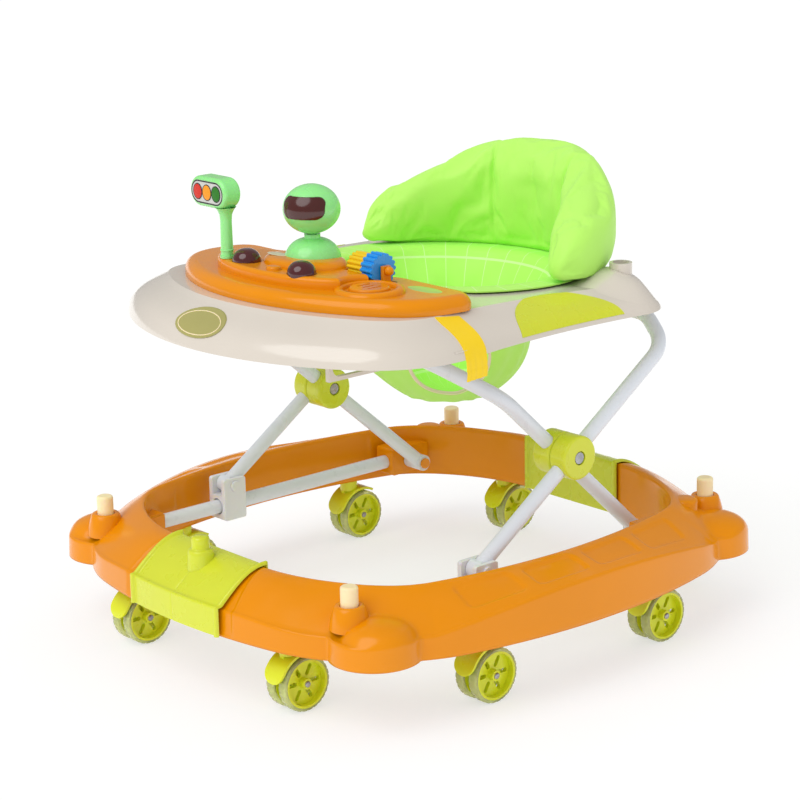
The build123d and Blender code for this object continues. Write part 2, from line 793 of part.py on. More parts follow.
# Saddles under the tray in which the rear cross tube turns
bar_y, bar_z = rear_cross[1:]
clip_low = bar_z - tube_radius - clip_wall
with BuildPart() as rear_pivot_clips:
    with Locations(*[(sx * clip_x, bar_y, rim_z) for sx in sides]):
        Box(clip_width, clip_length, 2 * tray_rise, align=upright)
    add(tray_body(-tray_wall - insert_fit), mode=Mode.INTERSECT)
    with Locations(*[(sx * clip_x, bar_y, rim_z) for sx in sides]):
        Box(clip_width, clip_length, rim_z - clip_low, align=(Align.CENTER, Align.CENTER, Align.MAX))
    with Locations(Location((0, bar_y, bar_z), along_x)):
        Cylinder(tube_radius + pin_fit, slab, mode=Mode.SUBTRACT)
save(rear_pivot_clips, "rear_pivot_clips")


# One cross section of the padded back at a turn from the child's left, crowned on every side
def back_section(turn, height, thickness):
    angle = math.radians(turn)
    outward = Vector(math.cos(angle), math.sin(angle), 0)
    across = Vector(-outward.Y, outward.X, 0)
    centre = Vector(0, back_y, 0) + outward * back_radius
    low = plate_z(centre.Y) - back_sink
    plane = Plane(origin=(centre.X, centre.Y, low), x_dir=outward, z_dir=-across)
    half = thickness / 2
    rise = height + back_sink
    with BuildSketch(plane) as section:
        with BuildLine():
            inner = ThreePointArc((-half * back_draw, 0), (-half, rise * back_belly),
                                  (-half * back_crown, rise * back_neck))
            crown = ThreePointArc(inner @ 1, (0, rise), (half * back_crown, rise * back_neck))
            ThreePointArc(crown @ 1, (half, rise * back_belly), (half * back_draw, 0))
            Line((half * back_draw, 0), inner @ 0)
        make_face()
    return section.sketch


# Padded back: it sweeps round the seat, low at the wings, drawn in at two seams
with BuildPart() as seat_back:
    turns = [back_start, *back_wing_turns, back_seam_turn - back_seam_width, back_seam_turn,
             back_seam_turn + back_seam_width, 90]
    turns += [180 - turn for turn in reversed(turns[:-1])]
    for turn in turns:
        share = math.sin(math.radians((turn - back_start) / (90 - back_start) * 90))
        height = back_tip_height + (back_height - back_tip_height) * share ** back_sweep
        wing = min(1.0, back_tip_share + share)
        seam = back_seam if abs(abs(turn - 90) - abs(back_seam_turn - 90)) < 1 else 0
        add(back_section(turn, height, back_thickness * wing - seam))
    loft()
    add(tray_body(back_gap), mode=Mode.SUBTRACT)
save(seat_back, "seat_back")


# Lobed section of the cloth seat
def sling_section(z, radius, depth):
    step = 2 * math.pi / sling_folds
    with BuildSketch(Plane.XY.offset(z)) as section:
        with BuildLine():
            for i in range(sling_folds):
                spots = [(radius, i), (radius + depth, i + 0.5), (radius, i + 1)]
                ThreePointArc(*[(r * math.cos(step * k), seat_y + r * math.sin(step * k)) for r, k in spots])
        make_face()
    return section.sketch


def sling_body(shrink):
    with BuildPart() as body:
        for share, radius_share, fold in sling_steps:
            z = sling_low + shrink + (sling_top - sling_low) * share
            add(sling_section(z, (seat_radius - sling_gap) * radius_share - fold - shrink, fold))
        loft()
    return body.part


# Cloth seat: a thin bag below the tray with a hole for each leg
with BuildPart() as seat_sling:
    add(sling_body(0))
    add(sling_body(sling_wall), mode=Mode.SUBTRACT)
    for sx in sides:
        way = math.radians(sx * leg_turn)
        with Locations(Plane(origin=(0, seat_y, leg_z), z_dir=(math.sin(way), -math.cos(way), 0))):
            Cylinder(leg_radius, seat_radius * 2, align=upright, mode=Mode.SUBTRACT)
save(seat_sling, "seat_sling")


# Toy panel on the tray's plate
def panel_outline(inset):
    with BuildSketch() as outline:
        with BuildLine():
            front = JernArc((0, panel_front_y - tray_plate_y), (1, 0), panel_front_radius, panel_front_sweep)
            side = JernArc(front @ 1, front % 1, panel_side_radius, panel_side_sweep)
            rear_y = panel_rear_y - tray_plate_y
            Polyline(side @ 1, ((side @ 1).X, rear_y), (0, rear_y))
            mirror(about=Plane.YZ)
        make_face()
        with Locations((0, seat_y - tray_plate_y)):
            Circle(panel_bay_radius, mode=Mode.SUBTRACT)
        fillet(outline.vertices().group_by(Axis.Y)[-1], panel_corner)
        if inset:
            offset(amount=-inset)
    return outline.sketch


def deck_z(y, rise):
    return plate_z(y) + rise


# Block of the panel's outline that stands on the plate, with its top edge rounded
def panel_block(inset, start, rise, edge_round):
    with BuildPart() as block:
        with BuildSketch(tray_plane(tray_rise + start)):
            add(panel_outline(inset))
        extrude(amount=rise)
        fillet(block.faces().sort_by(Axis.Z)[-1].outer_wire().edges(), edge_round)
    return block.part


tier_top = panel_rise + tier_rise
button_floor = deck_z(button_y - button_radius, insert_fit + module_height + button_travel + button_fit)
with BuildPart() as toy_panel:
    add(panel_block(0, insert_fit, panel_rise, panel_round))
    with BuildPart(mode=Mode.PRIVATE) as tier:
        with BuildSketch(tray_plane(tray_rise + panel_rise - panel_wall)):
            with Locations((tier_x, tier_y - tray_plate_y)):
                Ellipse(tier_half_x, tier_half_y)
            with Locations((button_x, button_y - tray_plate_y)):
                Circle(button_radius + button_collar, mode=Mode.SUBTRACT)
        extrude(amount=tier_rise + panel_wall)
        fillet(tier.faces().sort_by(Axis.Z)[-1].outer_wire().edges(), tier_round)
    add(tier.part)
    add(panel_block(panel_wall, 0, panel_rise - panel_wall, panel_round - panel_wall), mode=Mode.SUBTRACT)
    with Locations((button_x, button_y, button_floor - button_travel)):
        Cylinder(button_radius + button_fit, slab, align=upright, mode=Mode.SUBTRACT)
    for sx in sides:
        with Locations((sx * dome_button_x, dome_button_y, button_floor - button_travel)):
            Cylinder(dome_button_radius + button_fit, slab, align=upright, mode=Mode.SUBTRACT)
    spin_length = spinner_width + drum_width + 3 * spinner_gap
    spin_start = spinner_x - spinner_width / 2 - drum_width - 2 * spinner_gap
    with Locations((spin_start, spinner_y, deck_z(spinner_y, panel_wall))):
        Box(spin_length, 2 * spinner_radius + 2 * spinner_gap, slab,
            align=(Align.MIN, Align.CENTER, Align.MIN), mode=Mode.SUBTRACT)
    for x in (spin_start - ear_wall, spin_start + spin_length):
        with Locations((x, spinner_y, deck_z(spinner_y, panel_rise - panel_wall))):
            Box(ear_wall, 2 * ear_wall, spinner_z + ear_wall - deck_z(spinner_y, panel_rise - panel_wall),
                align=(Align.MIN, Align.CENTER, Align.MIN))
    with Locations(Location((spin_start - ear_wall, spinner_y, spinner_z), along_x)):
        Cylinder(spinner_pin + pin_fit, spin_length + 2 * ear_wall, align=upright, mode=Mode.SUBTRACT)
    with Locations((post_x, post_y, deck_z(post_y, tier_top) - post_depth)):
        Cylinder(post_collar, post_depth, align=upright)
        Cylinder(post_radius + post_fit, slab, align=upright, mode=Mode.SUBTRACT)
save(toy_panel, "toy_panel")

# Sound module on the plate, inside the panel and under its button
with BuildPart() as sound_module:
    with BuildSketch(tray_plane(tray_rise + insert_fit)):
        with Locations((button_x, button_y - tray_plate_y)):
            RectangleRounded(module_length, module_width, panel_wall)
    extrude(amount=module_height)
save(sound_module, "sound_module")

# Round stepped button with three slots
with BuildPart() as music_button:
    with Locations((button_x, button_y, button_floor)):
        Cylinder(button_radius, button_top - button_floor - button_step, align=upright)
        Cylinder(button_radius - button_collar, button_top - button_floor, align=upright)
    fillet(music_button.edges().filter_by(GeomType.CIRCLE).group_by(Axis.Z)[-1], button_step / 2)
    with BuildSketch(Plane.XY.offset(button_top - button_step / 2)):
        with Locations((button_x, button_y)):
            with GridLocations(button_slot_pitch, 1, button_slots, 1):
                SlotOverall(button_slot_length, button_step / 2, rotation=90)
    extrude(amount=button_step, mode=Mode.SUBTRACT)
save(music_button, "music_button")

# Domed buttons in the upper tier
dome_deck = deck_z(dome_button_y, tier_top)
for sx, name in ((1, "dome_button_left"), (-1, "dome_button_right")):
    with BuildPart() as dome_button:
        with Locations((sx * dome_button_x, dome_button_y, dome_deck - dome_button_depth)):
            Cylinder(dome_button_radius, dome_button_depth + dome_button_rise, align=upright)
        crown = dome_button.edges().filter_by(GeomType.CIRCLE).group_by(Axis.Z)[-1]
        fillet(crown, dome_button_rise - button_fit)
    save(dome_button, name)

# Toothed spinner wheel and drum on one pin
wheel_start_x = spinner_x - spinner_width / 2
drum_start_x = wheel_start_x - spinner_gap - drum_width
with BuildPart() as spinner_wheel:
    with BuildSketch(Plane.YZ.offset(wheel_start_x)):
        with Locations((spinner_y, spinner_z)):
            Circle(spinner_radius - tooth_height)
            with PolarLocations(spinner_radius - tooth_height, spinner_teeth):
                Circle(tooth_height)
            Circle(spinner_pin + pin_fit, mode=Mode.SUBTRACT)
    extrude(amount=spinner_width)
save(spinner_wheel, "spinner_wheel")

with BuildPart() as spinner_drum:
    with BuildSketch(Plane.YZ.offset(drum_start_x)):
        with Locations((spinner_y, spinner_z)):
            Circle(drum_radius - tooth_height)
            with PolarLocations(drum_radius - tooth_height, spinner_teeth):
                Circle(tooth_height)
    extrude(amount=drum_width)
    with Locations(Location((spin_start - ear_wall, spinner_y, spinner_z), along_x)):
        Cylinder(spinner_pin, spin_length + 2 * ear_wall, align=upright)
save(spinner_drum, "spinner_drum")

# Signal on its post: the head turns with the post in the panel's socket
post_low = deck_z(post_y, tier_top) - post_depth
with BuildPart() as signal_post:
    with Locations((post_x, post_y, post_low)):
        Cylinder(post_radius, signal_z - post_low, align=upright)
    with Locations((post_x, post_y, deck_z(post_y, tier_top) + post_flange_rise)):
        Cylinder(post_collar, post_flange, align=upright)
    with BuildSketch(Plane.XZ.offset(-post_y - signal_depth / 2)):
        with Locations((signal_x, signal_z)):
            SlotOverall(signal_length, signal_height)
    extrude(amount=signal_depth)
    outer_edges = signal_post.faces().filter_by(Axis.Y).edges()
    fillet(outer_edges.filter_by(lambda e: e.length > signal_plate), signal_round)
    with BuildSketch(Plane.XZ.offset(-post_y + signal_depth / 2 - signal_plate)):
        with Locations((signal_x, signal_z)):
            SlotOverall(signal_length - signal_border, signal_height - signal_border)
    extrude(amount=signal_plate, mode=Mode.SUBTRACT)
save(signal_post, "signal_post")

with BuildPart() as signal_face:
    with BuildSketch(Plane.XZ.offset(-post_y + signal_depth / 2 - signal_plate)):
        with Locations((signal_x, signal_z)):
            SlotOverall(signal_length - signal_border - insert_fit, signal_height - signal_border - insert_fit)
    extrude(amount=signal_plate)
save(signal_face, "signal_face")

# Helmeted figure: a fixed bust, with a head that turns on its pin
bust_z = deck_z(figure_y, tier_top)
head_z = bust_z + bust_height + neck_height + head_height / 2
with BuildPart() as figure_body:
    with BuildSketch(Plane.XZ.offset(-figure_y)):
        with BuildLine():
            base_line = Line((0, bust_z - bust_sink), (bust_radius, bust_z - bust_sink))
            shoulder_arc = ThreePointArc(base_line @ 1, (shoulder_radius, bust_z + shoulder_height),
                                         (neck_radius, bust_z + bust_height))
            neck = Polyline(shoulder_arc @ 1, (neck_radius, bust_z + bust_height + neck_height - head_gap),
                            (head_pin, bust_z + bust_height + neck_height - head_gap),
                            (head_pin, bust_z + bust_height + neck_height + head_pin_length),
                            (0, bust_z + bust_height + neck_height + head_pin_length))
            Line(neck @ 1, base_line @ 0)
        make_face()
    revolve(axis=Axis((0, figure_y, 0), (0, 0, 1)))
    split(bisect_by=tray_plane(tray_rise).offset(tier_top + 2 * insert_fit), keep=Keep.TOP)
save(figure_body, "figure_body")


def head_body(grow):
    with BuildPart() as body:
        with BuildSketch(Plane.XZ.offset(-figure_y)):
            with Locations((0, head_z)):
                Ellipse(head_radius + grow, head_height / 2 + grow)
            with Locations((0, head_z)):
                Rectangle(2 * head_radius, 2 * head_height, align=(Align.MAX, Align.CENTER),
                          mode=Mode.SUBTRACT)
        revolve(axis=Axis((0, figure_y, 0), (0, 0, 1)))
    return body.part


def visor_prism(grow):
    facing = math.radians(visor_turn)
    look = Vector(math.sin(facing), -math.cos(facing), 0)
    plane = Plane(origin=(0, figure_y, head_z + visor_lift), x_dir=Vector(-look.Y, look.X, 0), z_dir=look)
    with BuildPart() as prism:
        with BuildSketch(plane):
            RectangleRounded(2 * (visor_half + grow), visor_height + 2 * grow, visor_round)
        extrude(amount=2 * head_radius)
    return prism.part


with BuildPart() as figure_head:
    add(head_body(0))
    neck_top = bust_z + bust_height + neck_height
    with Locations((0, figure_y, neck_top - head_gap)):
        Cylinder(head_pin + pin_fit, head_pin_length + 2 * head_gap, align=upright, mode=Mode.SUBTRACT)
    with BuildPart(mode=Mode.PRIVATE) as socket:
        add(visor_prism(insert_fit))
        add(head_body(-visor_deep), mode=Mode.SUBTRACT)
    add(socket.part, mode=Mode.SUBTRACT)
save(figure_head, "figure_head")

with BuildPart() as figure_visor:
    add(head_body(visor_proud))
    add(visor_prism(0), mode=Mode.INTERSECT)
    add(head_body(insert_fit - visor_deep), mode=Mode.SUBTRACT)
save(figure_visor, "figure_visor")
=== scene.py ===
import bpy
import bmesh
import math
from mathutils import Matrix, Vector
from mathutils.bvhtree import BVHTree


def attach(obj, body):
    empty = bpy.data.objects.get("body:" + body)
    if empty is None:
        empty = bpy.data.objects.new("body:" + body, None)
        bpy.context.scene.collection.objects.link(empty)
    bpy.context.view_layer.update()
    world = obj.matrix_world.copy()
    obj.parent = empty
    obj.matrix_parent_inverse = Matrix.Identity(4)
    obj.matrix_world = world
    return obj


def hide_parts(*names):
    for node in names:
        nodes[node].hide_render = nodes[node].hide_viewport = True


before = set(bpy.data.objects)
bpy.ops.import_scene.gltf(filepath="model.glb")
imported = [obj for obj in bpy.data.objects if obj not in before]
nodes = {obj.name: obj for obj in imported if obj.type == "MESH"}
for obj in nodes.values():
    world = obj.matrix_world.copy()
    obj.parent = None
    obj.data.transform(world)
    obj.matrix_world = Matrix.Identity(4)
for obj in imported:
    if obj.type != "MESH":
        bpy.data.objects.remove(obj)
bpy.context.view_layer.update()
scene = bpy.context.scene
scene.view_settings.view_transform = "Standard"
mm = 0.001
turn = 2 * math.pi
print("walker: frame loaded,", len(nodes), "nodes")


def tint(red, green, blue):  # screen colour, 0 to 255, as the linear values a shader takes
    parts = [part / 255 for part in (red, green, blue)]
    return tuple(p / 12.92 if p <= 0.04045 else ((p + 0.055) / 1.055) ** 2.4 for p in parts) + (1.0,)


def ease(low, high, value):  # 0 below low, 1 above high, smooth between
    share = min(1.0, max(0.0, (value - low) / (high - low)))
    return share * share * (3 - 2 * share)


def softMin(first, second, reach):
    share = max(reach - abs(first - second), 0.0) / reach
    return min(first, second) - share * share * reach / 4


def softMax(first, second, reach):
    return -softMin(-first, -second, reach)


def mathOn(tree, operation, first, second=0.0):
    node = tree.nodes.new("ShaderNodeMath")
    node.operation = operation
    for socket, value in zip(node.inputs, (first, second)):
        if isinstance(value, float):
            socket.default_value = value
        else:
            tree.links.new(value, socket)
    return node.outputs[0]


def blendOn(tree, factor, first, last):
    node = tree.nodes.new("ShaderNodeMix")
    node.data_type = "RGBA"
    tree.links.new(factor, node.inputs[0])
    for socket, value in zip(node.inputs[6:8], (first, last)):
        if isinstance(value, tuple):
            socket.default_value = value
        else:
            tree.links.new(value, socket)
    return node.outputs[2]


# Camera, lights and floor

shot = dict(place=(2.0896, -1.8164, 1.0078), azimuth=49.103, elevation=15.146, roll=-1.201, lens=111.92)
studio = dict(skyLevel=0.74, glossLevel=0.34, sunLevel=1.25, sunTurn=(38, -14, 20), sunSpread=50, floorSize=40,
              floorGlow=0.6, floorShade=0.42, floorBounce=0.22, bounceShade=0.9)


def addCamera():
    azimuth, elevation, roll = (math.radians(shot[k]) for k in ("azimuth", "elevation", "roll"))
    back = Vector((math.sin(azimuth) * math.cos(elevation), -math.cos(azimuth) * math.cos(elevation),
                   math.sin(elevation)))
    right = Vector((math.cos(azimuth), math.sin(azimuth), 0))
    up = back.cross(right)
    across = right * math.cos(roll) + up * math.sin(roll)
    rise = up * math.cos(roll) - right * math.sin(roll)
    data = bpy.data.cameras.new("photoCamera")
    data.lens = shot["lens"]
    data.sensor_width = 36
    data.clip_end = 100
    camera = bpy.data.objects.new("photoCamera", data)
    facing = Matrix((across, rise, back)).transposed().to_4x4()
    camera.matrix_world = Matrix.Translation(shot["place"]) @ facing
    scene.collection.objects.link(camera)
    scene.camera = camera


def addStudio():
    world = bpy.data.worlds.new("studioSky")
    scene.world = world
    world.use_nodes = True
    tree = world.node_tree
    tree.nodes.clear()
    rays = tree.nodes.new("ShaderNodeLightPath")
    seen = mathOn(tree, "MAXIMUM", rays.outputs["Is Camera Ray"], rays.outputs["Is Transmission Ray"])
    gloss = mathOn(tree, "MULTIPLY", rays.outputs["Is Glossy Ray"], studio["glossLevel"] - studio["skyLevel"])
    level = mathOn(tree, "ADD", gloss, studio["skyLevel"])
    level = mathOn(tree, "MAXIMUM", level, seen)
    sky = tree.nodes.new("ShaderNodeBackground")
    sky.inputs["Color"].default_value = (1, 1, 1, 1)
    tree.links.new(level, sky.inputs["Strength"])
    out = tree.nodes.new("ShaderNodeOutputWorld")
    tree.links.new(sky.outputs[0], out.inputs["Surface"])
    sun = bpy.data.lights.new("softSun", "SUN")
    sun.energy = studio["sunLevel"]
    sun.angle = math.radians(studio["sunSpread"])
    lamp = bpy.data.objects.new("softSun", sun)
    lamp.rotation_euler = [math.radians(a) for a in studio["sunTurn"]]
    scene.collection.objects.link(lamp)
    bm = bmesh.new()
    bmesh.ops.create_grid(bm, x_segments=2, y_segments=2, size=studio["floorSize"])
    mesh = bpy.data.meshes.new("studioFloor")
    bm.to_mesh(mesh)
    bm.free()
    floor = bpy.data.objects.new("studioFloor", mesh)
    scene.collection.objects.link(floor)
    finish = bpy.data.materials.new("paleFloor")
    finish.use_nodes = True
    tree = finish.node_tree
    tree.nodes.clear()
    rays = tree.nodes.new("ShaderNodeLightPath")
    mix = tree.nodes.new("ShaderNodeMixShader")
    tree.links.new(rays.outputs["Is Camera Ray"], mix.inputs[0])
    for socket, shade, light in ((1, "bounceShade", "floorBounce"), (2, "floorShade", "floorGlow")):
        matte = tree.nodes.new("ShaderNodeBsdfDiffuse")
        matte.inputs["Color"].default_value = (studio[shade], studio[shade], studio[shade], 1)
        glow = tree.nodes.new("ShaderNodeEmission")
        glow.inputs["Strength"].default_value = studio[light]
        both = tree.nodes.new("ShaderNodeAddShader")
        tree.links.new(matte.outputs[0], both.inputs[0])
        tree.links.new(glow.outputs[0], both.inputs[1])
        tree.links.new(both.outputs[0], mix.inputs[socket])
    out = tree.nodes.new("ShaderNodeOutputMaterial")
    tree.links.new(mix.outputs[0], out.inputs["Surface"])
    mesh.materials.append(finish)


addCamera()
addStudio()
print("walker: studio ready")

# Finishes


def startFinish(name):
    finish = bpy.data.materials.new(name)
    finish.use_nodes = True
    tree = finish.node_tree
    shader = tree.nodes["Principled BSDF"]
    return finish, tree, shader


# Thin lines on a piece's own grid: how many across and up, and half a line's share of its spacing
def linesOn(tree, counts, width):
    grid = tree.nodes.new("ShaderNodeUVMap")
    grid.uv_map = "weave"
    parts = tree.nodes.new("ShaderNodeSeparateXYZ")
    tree.links.new(grid.outputs[0], parts.inputs[0])
    masks = []
    for part, count in zip(parts.outputs, counts):
        share = mathOn(tree, "FRACT", mathOn(tree, "MULTIPLY", part, count))
        away = mathOn(tree, "ABSOLUTE", mathOn(tree, "SUBTRACT", share, 0.5))
        masks.append(mathOn(tree, "LESS_THAN", away, width))
    return mathOn(tree, "MAXIMUM", *masks)


def noiseOn(tree, source, scale, detail=3.0):
    texture = tree.nodes.new("ShaderNodeTexNoise")
    texture.inputs["Scale"].default_value = scale
    texture.inputs["Detail"].default_value = detail
    tree.links.new(source, texture.inputs["Vector"])
    return texture.outputs["Fac"]


def rampOn(tree, source, low, high, first, last):
    ramp = tree.nodes.new("ShaderNodeValToRGB")
    ramp.color_ramp.elements[0].position = low
    ramp.color_ramp.elements[0].color = first
    ramp.color_ramp.elements[1].position = high
    ramp.color_ramp.elements[1].color = last
    tree.links.new(source, ramp.inputs["Fac"])
    return ramp.outputs["Color"]


def spanOn(tree, source, low, high):
    span = tree.nodes.new("ShaderNodeMapRange")
    span.inputs["From Min"].default_value = 0.3
    span.inputs["From Max"].default_value = 0.7
    span.inputs["To Min"].default_value = low
    span.inputs["To Max"].default_value = high
    tree.links.new(source, span.inputs["Value"])
    return span.outputs["Result"]


def bumpOn(tree, shader, height, strength, distance):
    bump = tree.nodes.new("ShaderNodeBump")
    bump.inputs["Strength"].default_value = strength
    bump.inputs["Distance"].default_value = distance
    tree.links.new(height, bump.inputs["Height"])
    tree.links.new(bump.outputs["Normal"], shader.inputs["Normal"])


def shaded(colour, factor):
    return tuple(part * factor for part in colour[:3]) + (1.0,)


# Moulded plastic: faint mottling in the colour, uneven gloss, a fine flow grain
def moulded(name, colour, rough=0.22, mottle=0.06, grain=0.05, coat=0.35, gloss=0.5, under=0.0, through=0.0):
    finish, tree, shader = startFinish(name)
    place = tree.nodes.new("ShaderNodeTexCoord").outputs["Object"]
    cloud = noiseOn(tree, place, 11.0)
    shade = rampOn(tree, cloud, 0.3, 0.7, shaded(colour, 1 - mottle), shaded(colour, 1 + mottle * 0.5))
    tree.links.new(shade, shader.inputs["Base Color"])
    dulling = spanOn(tree, noiseOn(tree, place, 45.0), rough * 0.8, rough * 1.3)
    tree.links.new(dulling, shader.inputs["Roughness"])
    bumpOn(tree, shader, noiseOn(tree, place, 260.0, 2.0), grain, 0.0006)
    shader.inputs["Coat Weight"].default_value = coat
    shader.inputs["Coat Roughness"].default_value = 0.08
    shader.inputs["Specular IOR Level"].default_value = gloss
    if under:
        shader.inputs["Subsurface Weight"].default_value = under
        shader.inputs["Subsurface Radius"].default_value = (0.6, 0.8, 0.2)
        shader.inputs["Subsurface Scale"].default_value = 0.004
    if through:
        shader.inputs["Transmission Weight"].default_value = through
        shader.inputs["IOR"].default_value = 1.42
    return finish


# Powder-coated tube: orange-peel bump and a few dull patches
def coatedTube(name, colour):
    finish, tree, shader = startFinish(name)
    place = tree.nodes.new("ShaderNodeTexCoord").outputs["Object"]
    shade = rampOn(tree, noiseOn(tree, place, 16.0), 0.25, 0.75, shaded(colour, 0.94), colour)
    tree.links.new(shade, shader.inputs["Base Color"])
    tree.links.new(spanOn(tree, noiseOn(tree, place, 60.0), 0.26, 0.4), shader.inputs["Roughness"])
    bumpOn(tree, shader, noiseOn(tree, place, 420.0, 2.0), 0.08, 0.0005)
    shader.inputs["Coat Weight"].default_value = 0.2
    return finish


def platedSteel(name, colour):
    finish, tree, shader = startFinish(name)
    place = tree.nodes.new("ShaderNodeTexCoord").outputs["Object"]
    shade = rampOn(tree, noiseOn(tree, place, 120.0), 0.3, 0.7, shaded(colour, 0.7), colour)
    tree.links.new(shade, shader.inputs["Base Color"])
    tree.links.new(spanOn(tree, noiseOn(tree, place, 300.0), 0.2, 0.4), shader.inputs["Roughness"])
    bumpOn(tree, shader, noiseOn(tree, place, 900.0), 0.06, 0.0003)
    shader.inputs["Metallic"].default_value = 1.0
    return finish


# Woven cloth: two crossed thread waves, a slow change of shade, a soft sheen
def woven(name, colour, threads=900.0, drift=0.1, depth=0.12, sheen=0.25, quilt=None, stitch=None):
    finish, tree, shader = startFinish(name)
    place = tree.nodes.new("ShaderNodeTexCoord").outputs["Object"]
    shade = rampOn(tree, noiseOn(tree, place, 7.0, 5.0), 0.3, 0.7, shaded(colour, 1 - drift), colour)
    waves = []
    for direction in ("X", "Z"):
        wave = tree.nodes.new("ShaderNodeTexWave")
        wave.bands_direction = direction
        wave.inputs["Scale"].default_value = threads
        wave.inputs["Distortion"].default_value = 0.6
        tree.links.new(place, wave.inputs["Vector"])
        waves.append(wave.outputs["Fac"])
    cross = mathOn(tree, "MULTIPLY", *waves)
    if quilt:
        shade = blendOn(tree, linesOn(tree, quilt, 0.02), shade, stitch)
    tree.links.new(shade, shader.inputs["Base Color"])
    tree.links.new(spanOn(tree, noiseOn(tree, place, 30.0), 0.55, 0.75), shader.inputs["Roughness"])
    bumpOn(tree, shader, cross, depth, 0.0004)
    shader.inputs["Sheen Weight"].default_value = sheen
    shader.inputs["Sheen Roughness"].default_value = 0.5
    return finish


orangeMould = moulded("orangeMould", tint(232, 142, 0), rough=0.2, mottle=0.03, coat=0.15, gloss=0.25)
limeMould = moulded("limeMould", tint(212, 220, 46), rough=0.28, mottle=0.02, coat=0.2, under=0.2)
wheelLime = moulded("wheelLime", tint(222, 230, 34), rough=0.3, mottle=0.02, coat=0.1, under=0.3)
tyreClear = moulded("tyreClear", tint(234, 240, 168), rough=0.2, coat=0.1, through=0.65)
pegCream = moulded("pegCream", tint(252, 231, 184), rough=0.42, coat=0.05, under=0.2)
tubeWhite = coatedTube("tubeWhite", tint(226, 231, 238))
milkyBlock = moulded("milkyBlock", tint(228, 230, 232), rough=0.38, coat=0.05, under=0.35)
boltSteel = platedSteel("boltSteel", tint(180, 180, 184))
trayBeige = moulded("trayBeige", tint(217, 208, 196), rough=0.16, mottle=0.02, coat=0.4)
badgeOlive = moulded("badgeOlive", tint(170, 164, 96), rough=0.4, coat=0.1)
strapYellow = woven("strapYellow", tint(255, 216, 0), threads=700.0, drift=0.04, sheen=0.0)
seatGreen = woven("seatGreen", tint(188, 250, 104), drift=0.08, sheen=0.1)
toyGreen = moulded("toyGreen", tint(150, 238, 142), rough=0.24, under=0.15)
signalGrey = moulded("signalGrey", tint(205, 205, 200), rough=0.4, coat=0.0)
visorMaroon = moulded("visorMaroon", tint(74, 28, 24), rough=0.16)
domeMaroon = moulded("domeMaroon", tint(78, 26, 30), rough=0.12, coat=0.6)
spinnerBlue = moulded("spinnerBlue", tint(16, 148, 236), rough=0.28)
spinnerYellow = moulded("spinnerYellow", tint(246, 206, 20), rough=0.28)
moduleBlack = moulded("moduleBlack", tint(40, 40, 42), rough=0.5, coat=0.0)
liningGreen = woven("liningGreen", tint(188, 252, 106), drift=0.05, sheen=0.1, quilt=(30.0, 3.0),
                    stitch=tint(214, 252, 166))
pipingCream = woven("pipingCream", tint(236, 222, 190), threads=1200.0, drift=0.05)
signGreen = moulded("signGreen", tint(176, 214, 96), rough=0.2, coat=0.3)
# colour of the plate on the stand's top: a painted glint, pale where light catches the top
paintedGlintPale = moulded("paintedGlintPale", tint(226, 214, 180), rough=0.2, coat=0.3)
lampRed = moulded("lampRed", tint(214, 36, 4), rough=0.5, grain=0.0, coat=0.0)
lampAmber = moulded("lampAmber", tint(250, 156, 0), rough=0.5, grain=0.0, coat=0.0)
lampGreen = moulded("lampGreen", tint(28, 122, 0), rough=0.5, grain=0.0, coat=0.0)
nodeFinishes = {
    "base_left_half": orangeMould, "base_right_half": orangeMould, "toy_panel": orangeMould,
    "music_button": orangeMould, "front_coupler": limeMould, "rear_coupler": limeMould, "hub_caps": limeMould,
    "hub_cups": limeMould, "tray_side_inserts": limeMould, "guide_rails": tubeWhite,
    "rear_leg_frame": tubeWhite, "front_leg_frame": tubeWhite, "pivot_brackets": orangeMould,
    "rail_sliders": milkyBlock, "hub_bolts": boltSteel, "tray_shell": trayBeige, "front_tracks": trayBeige,
    "rear_pivot_clips": trayBeige, "tray_badge": badgeOlive, "tray_strap": strapYellow,
    "seat_back": seatGreen, "seat_sling": seatGreen, "signal_post": toyGreen,
    "figure_body": toyGreen, "figure_head": toyGreen, "signal_face": signalGrey, "figure_visor": visorMaroon,
    "dome_button_left": domeMaroon, "dome_button_right": domeMaroon, "spinner_wheel": spinnerBlue,
    "spinner_drum": spinnerYellow, "sound_module": moduleBlack,
}
for name, node in nodes.items():
    if name in nodeFinishes:
        finish = nodeFinishes[name]
    elif name.endswith("_tyres"):
        finish = tyreClear
    elif name.startswith("corner_peg"):
        finish = pegCream
    else:
        finish = wheelLime
    node.data.materials.clear()
    node.data.materials.append(finish)
print("walker: finishes on the frame")

# Making pieces


def makePiece(name, bm, finish, body, slotName, *stoodFor, sharp=50):
    mesh = bpy.data.meshes.new(name)
    bm.to_mesh(mesh)
    bm.free()
    mesh.shade_smooth()
    mesh.set_sharp_from_angle(angle=math.radians(sharp))
    mesh.materials.append(finish)
    piece = bpy.data.objects.new(name, mesh)
    scene.collection.objects.link(piece)
    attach(piece, body)
    if stoodFor:
        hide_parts(*stoodFor)
    return piece


# A sheet of quads from an operator, each point then set by its place across (0 to 1) and up (0 to 1)
def shapedGrid(acrossCount, upCount, place):
    bm = bmesh.new()
    weave = bm.loops.layers.uv.new("weave")
    bmesh.ops.create_grid(bm, x_segments=acrossCount, y_segments=upCount, size=0.5)
    spots = {v: (v.co.x + 0.5, v.co.y + 0.5) for v in bm.verts}
    for face in bm.faces:
        for loop in face.loops:
            loop[weave].uv = spots[loop.vert]
    for v, (across, up) in spots.items():
        v.co = place(across, up)
    return bm


def closeUp(bm, distance=0.02 * mm):
    bmesh.ops.remove_doubles(bm, verts=bm.verts, dist=distance)
    bmesh.ops.recalc_face_normals(bm, faces=bm.faces)


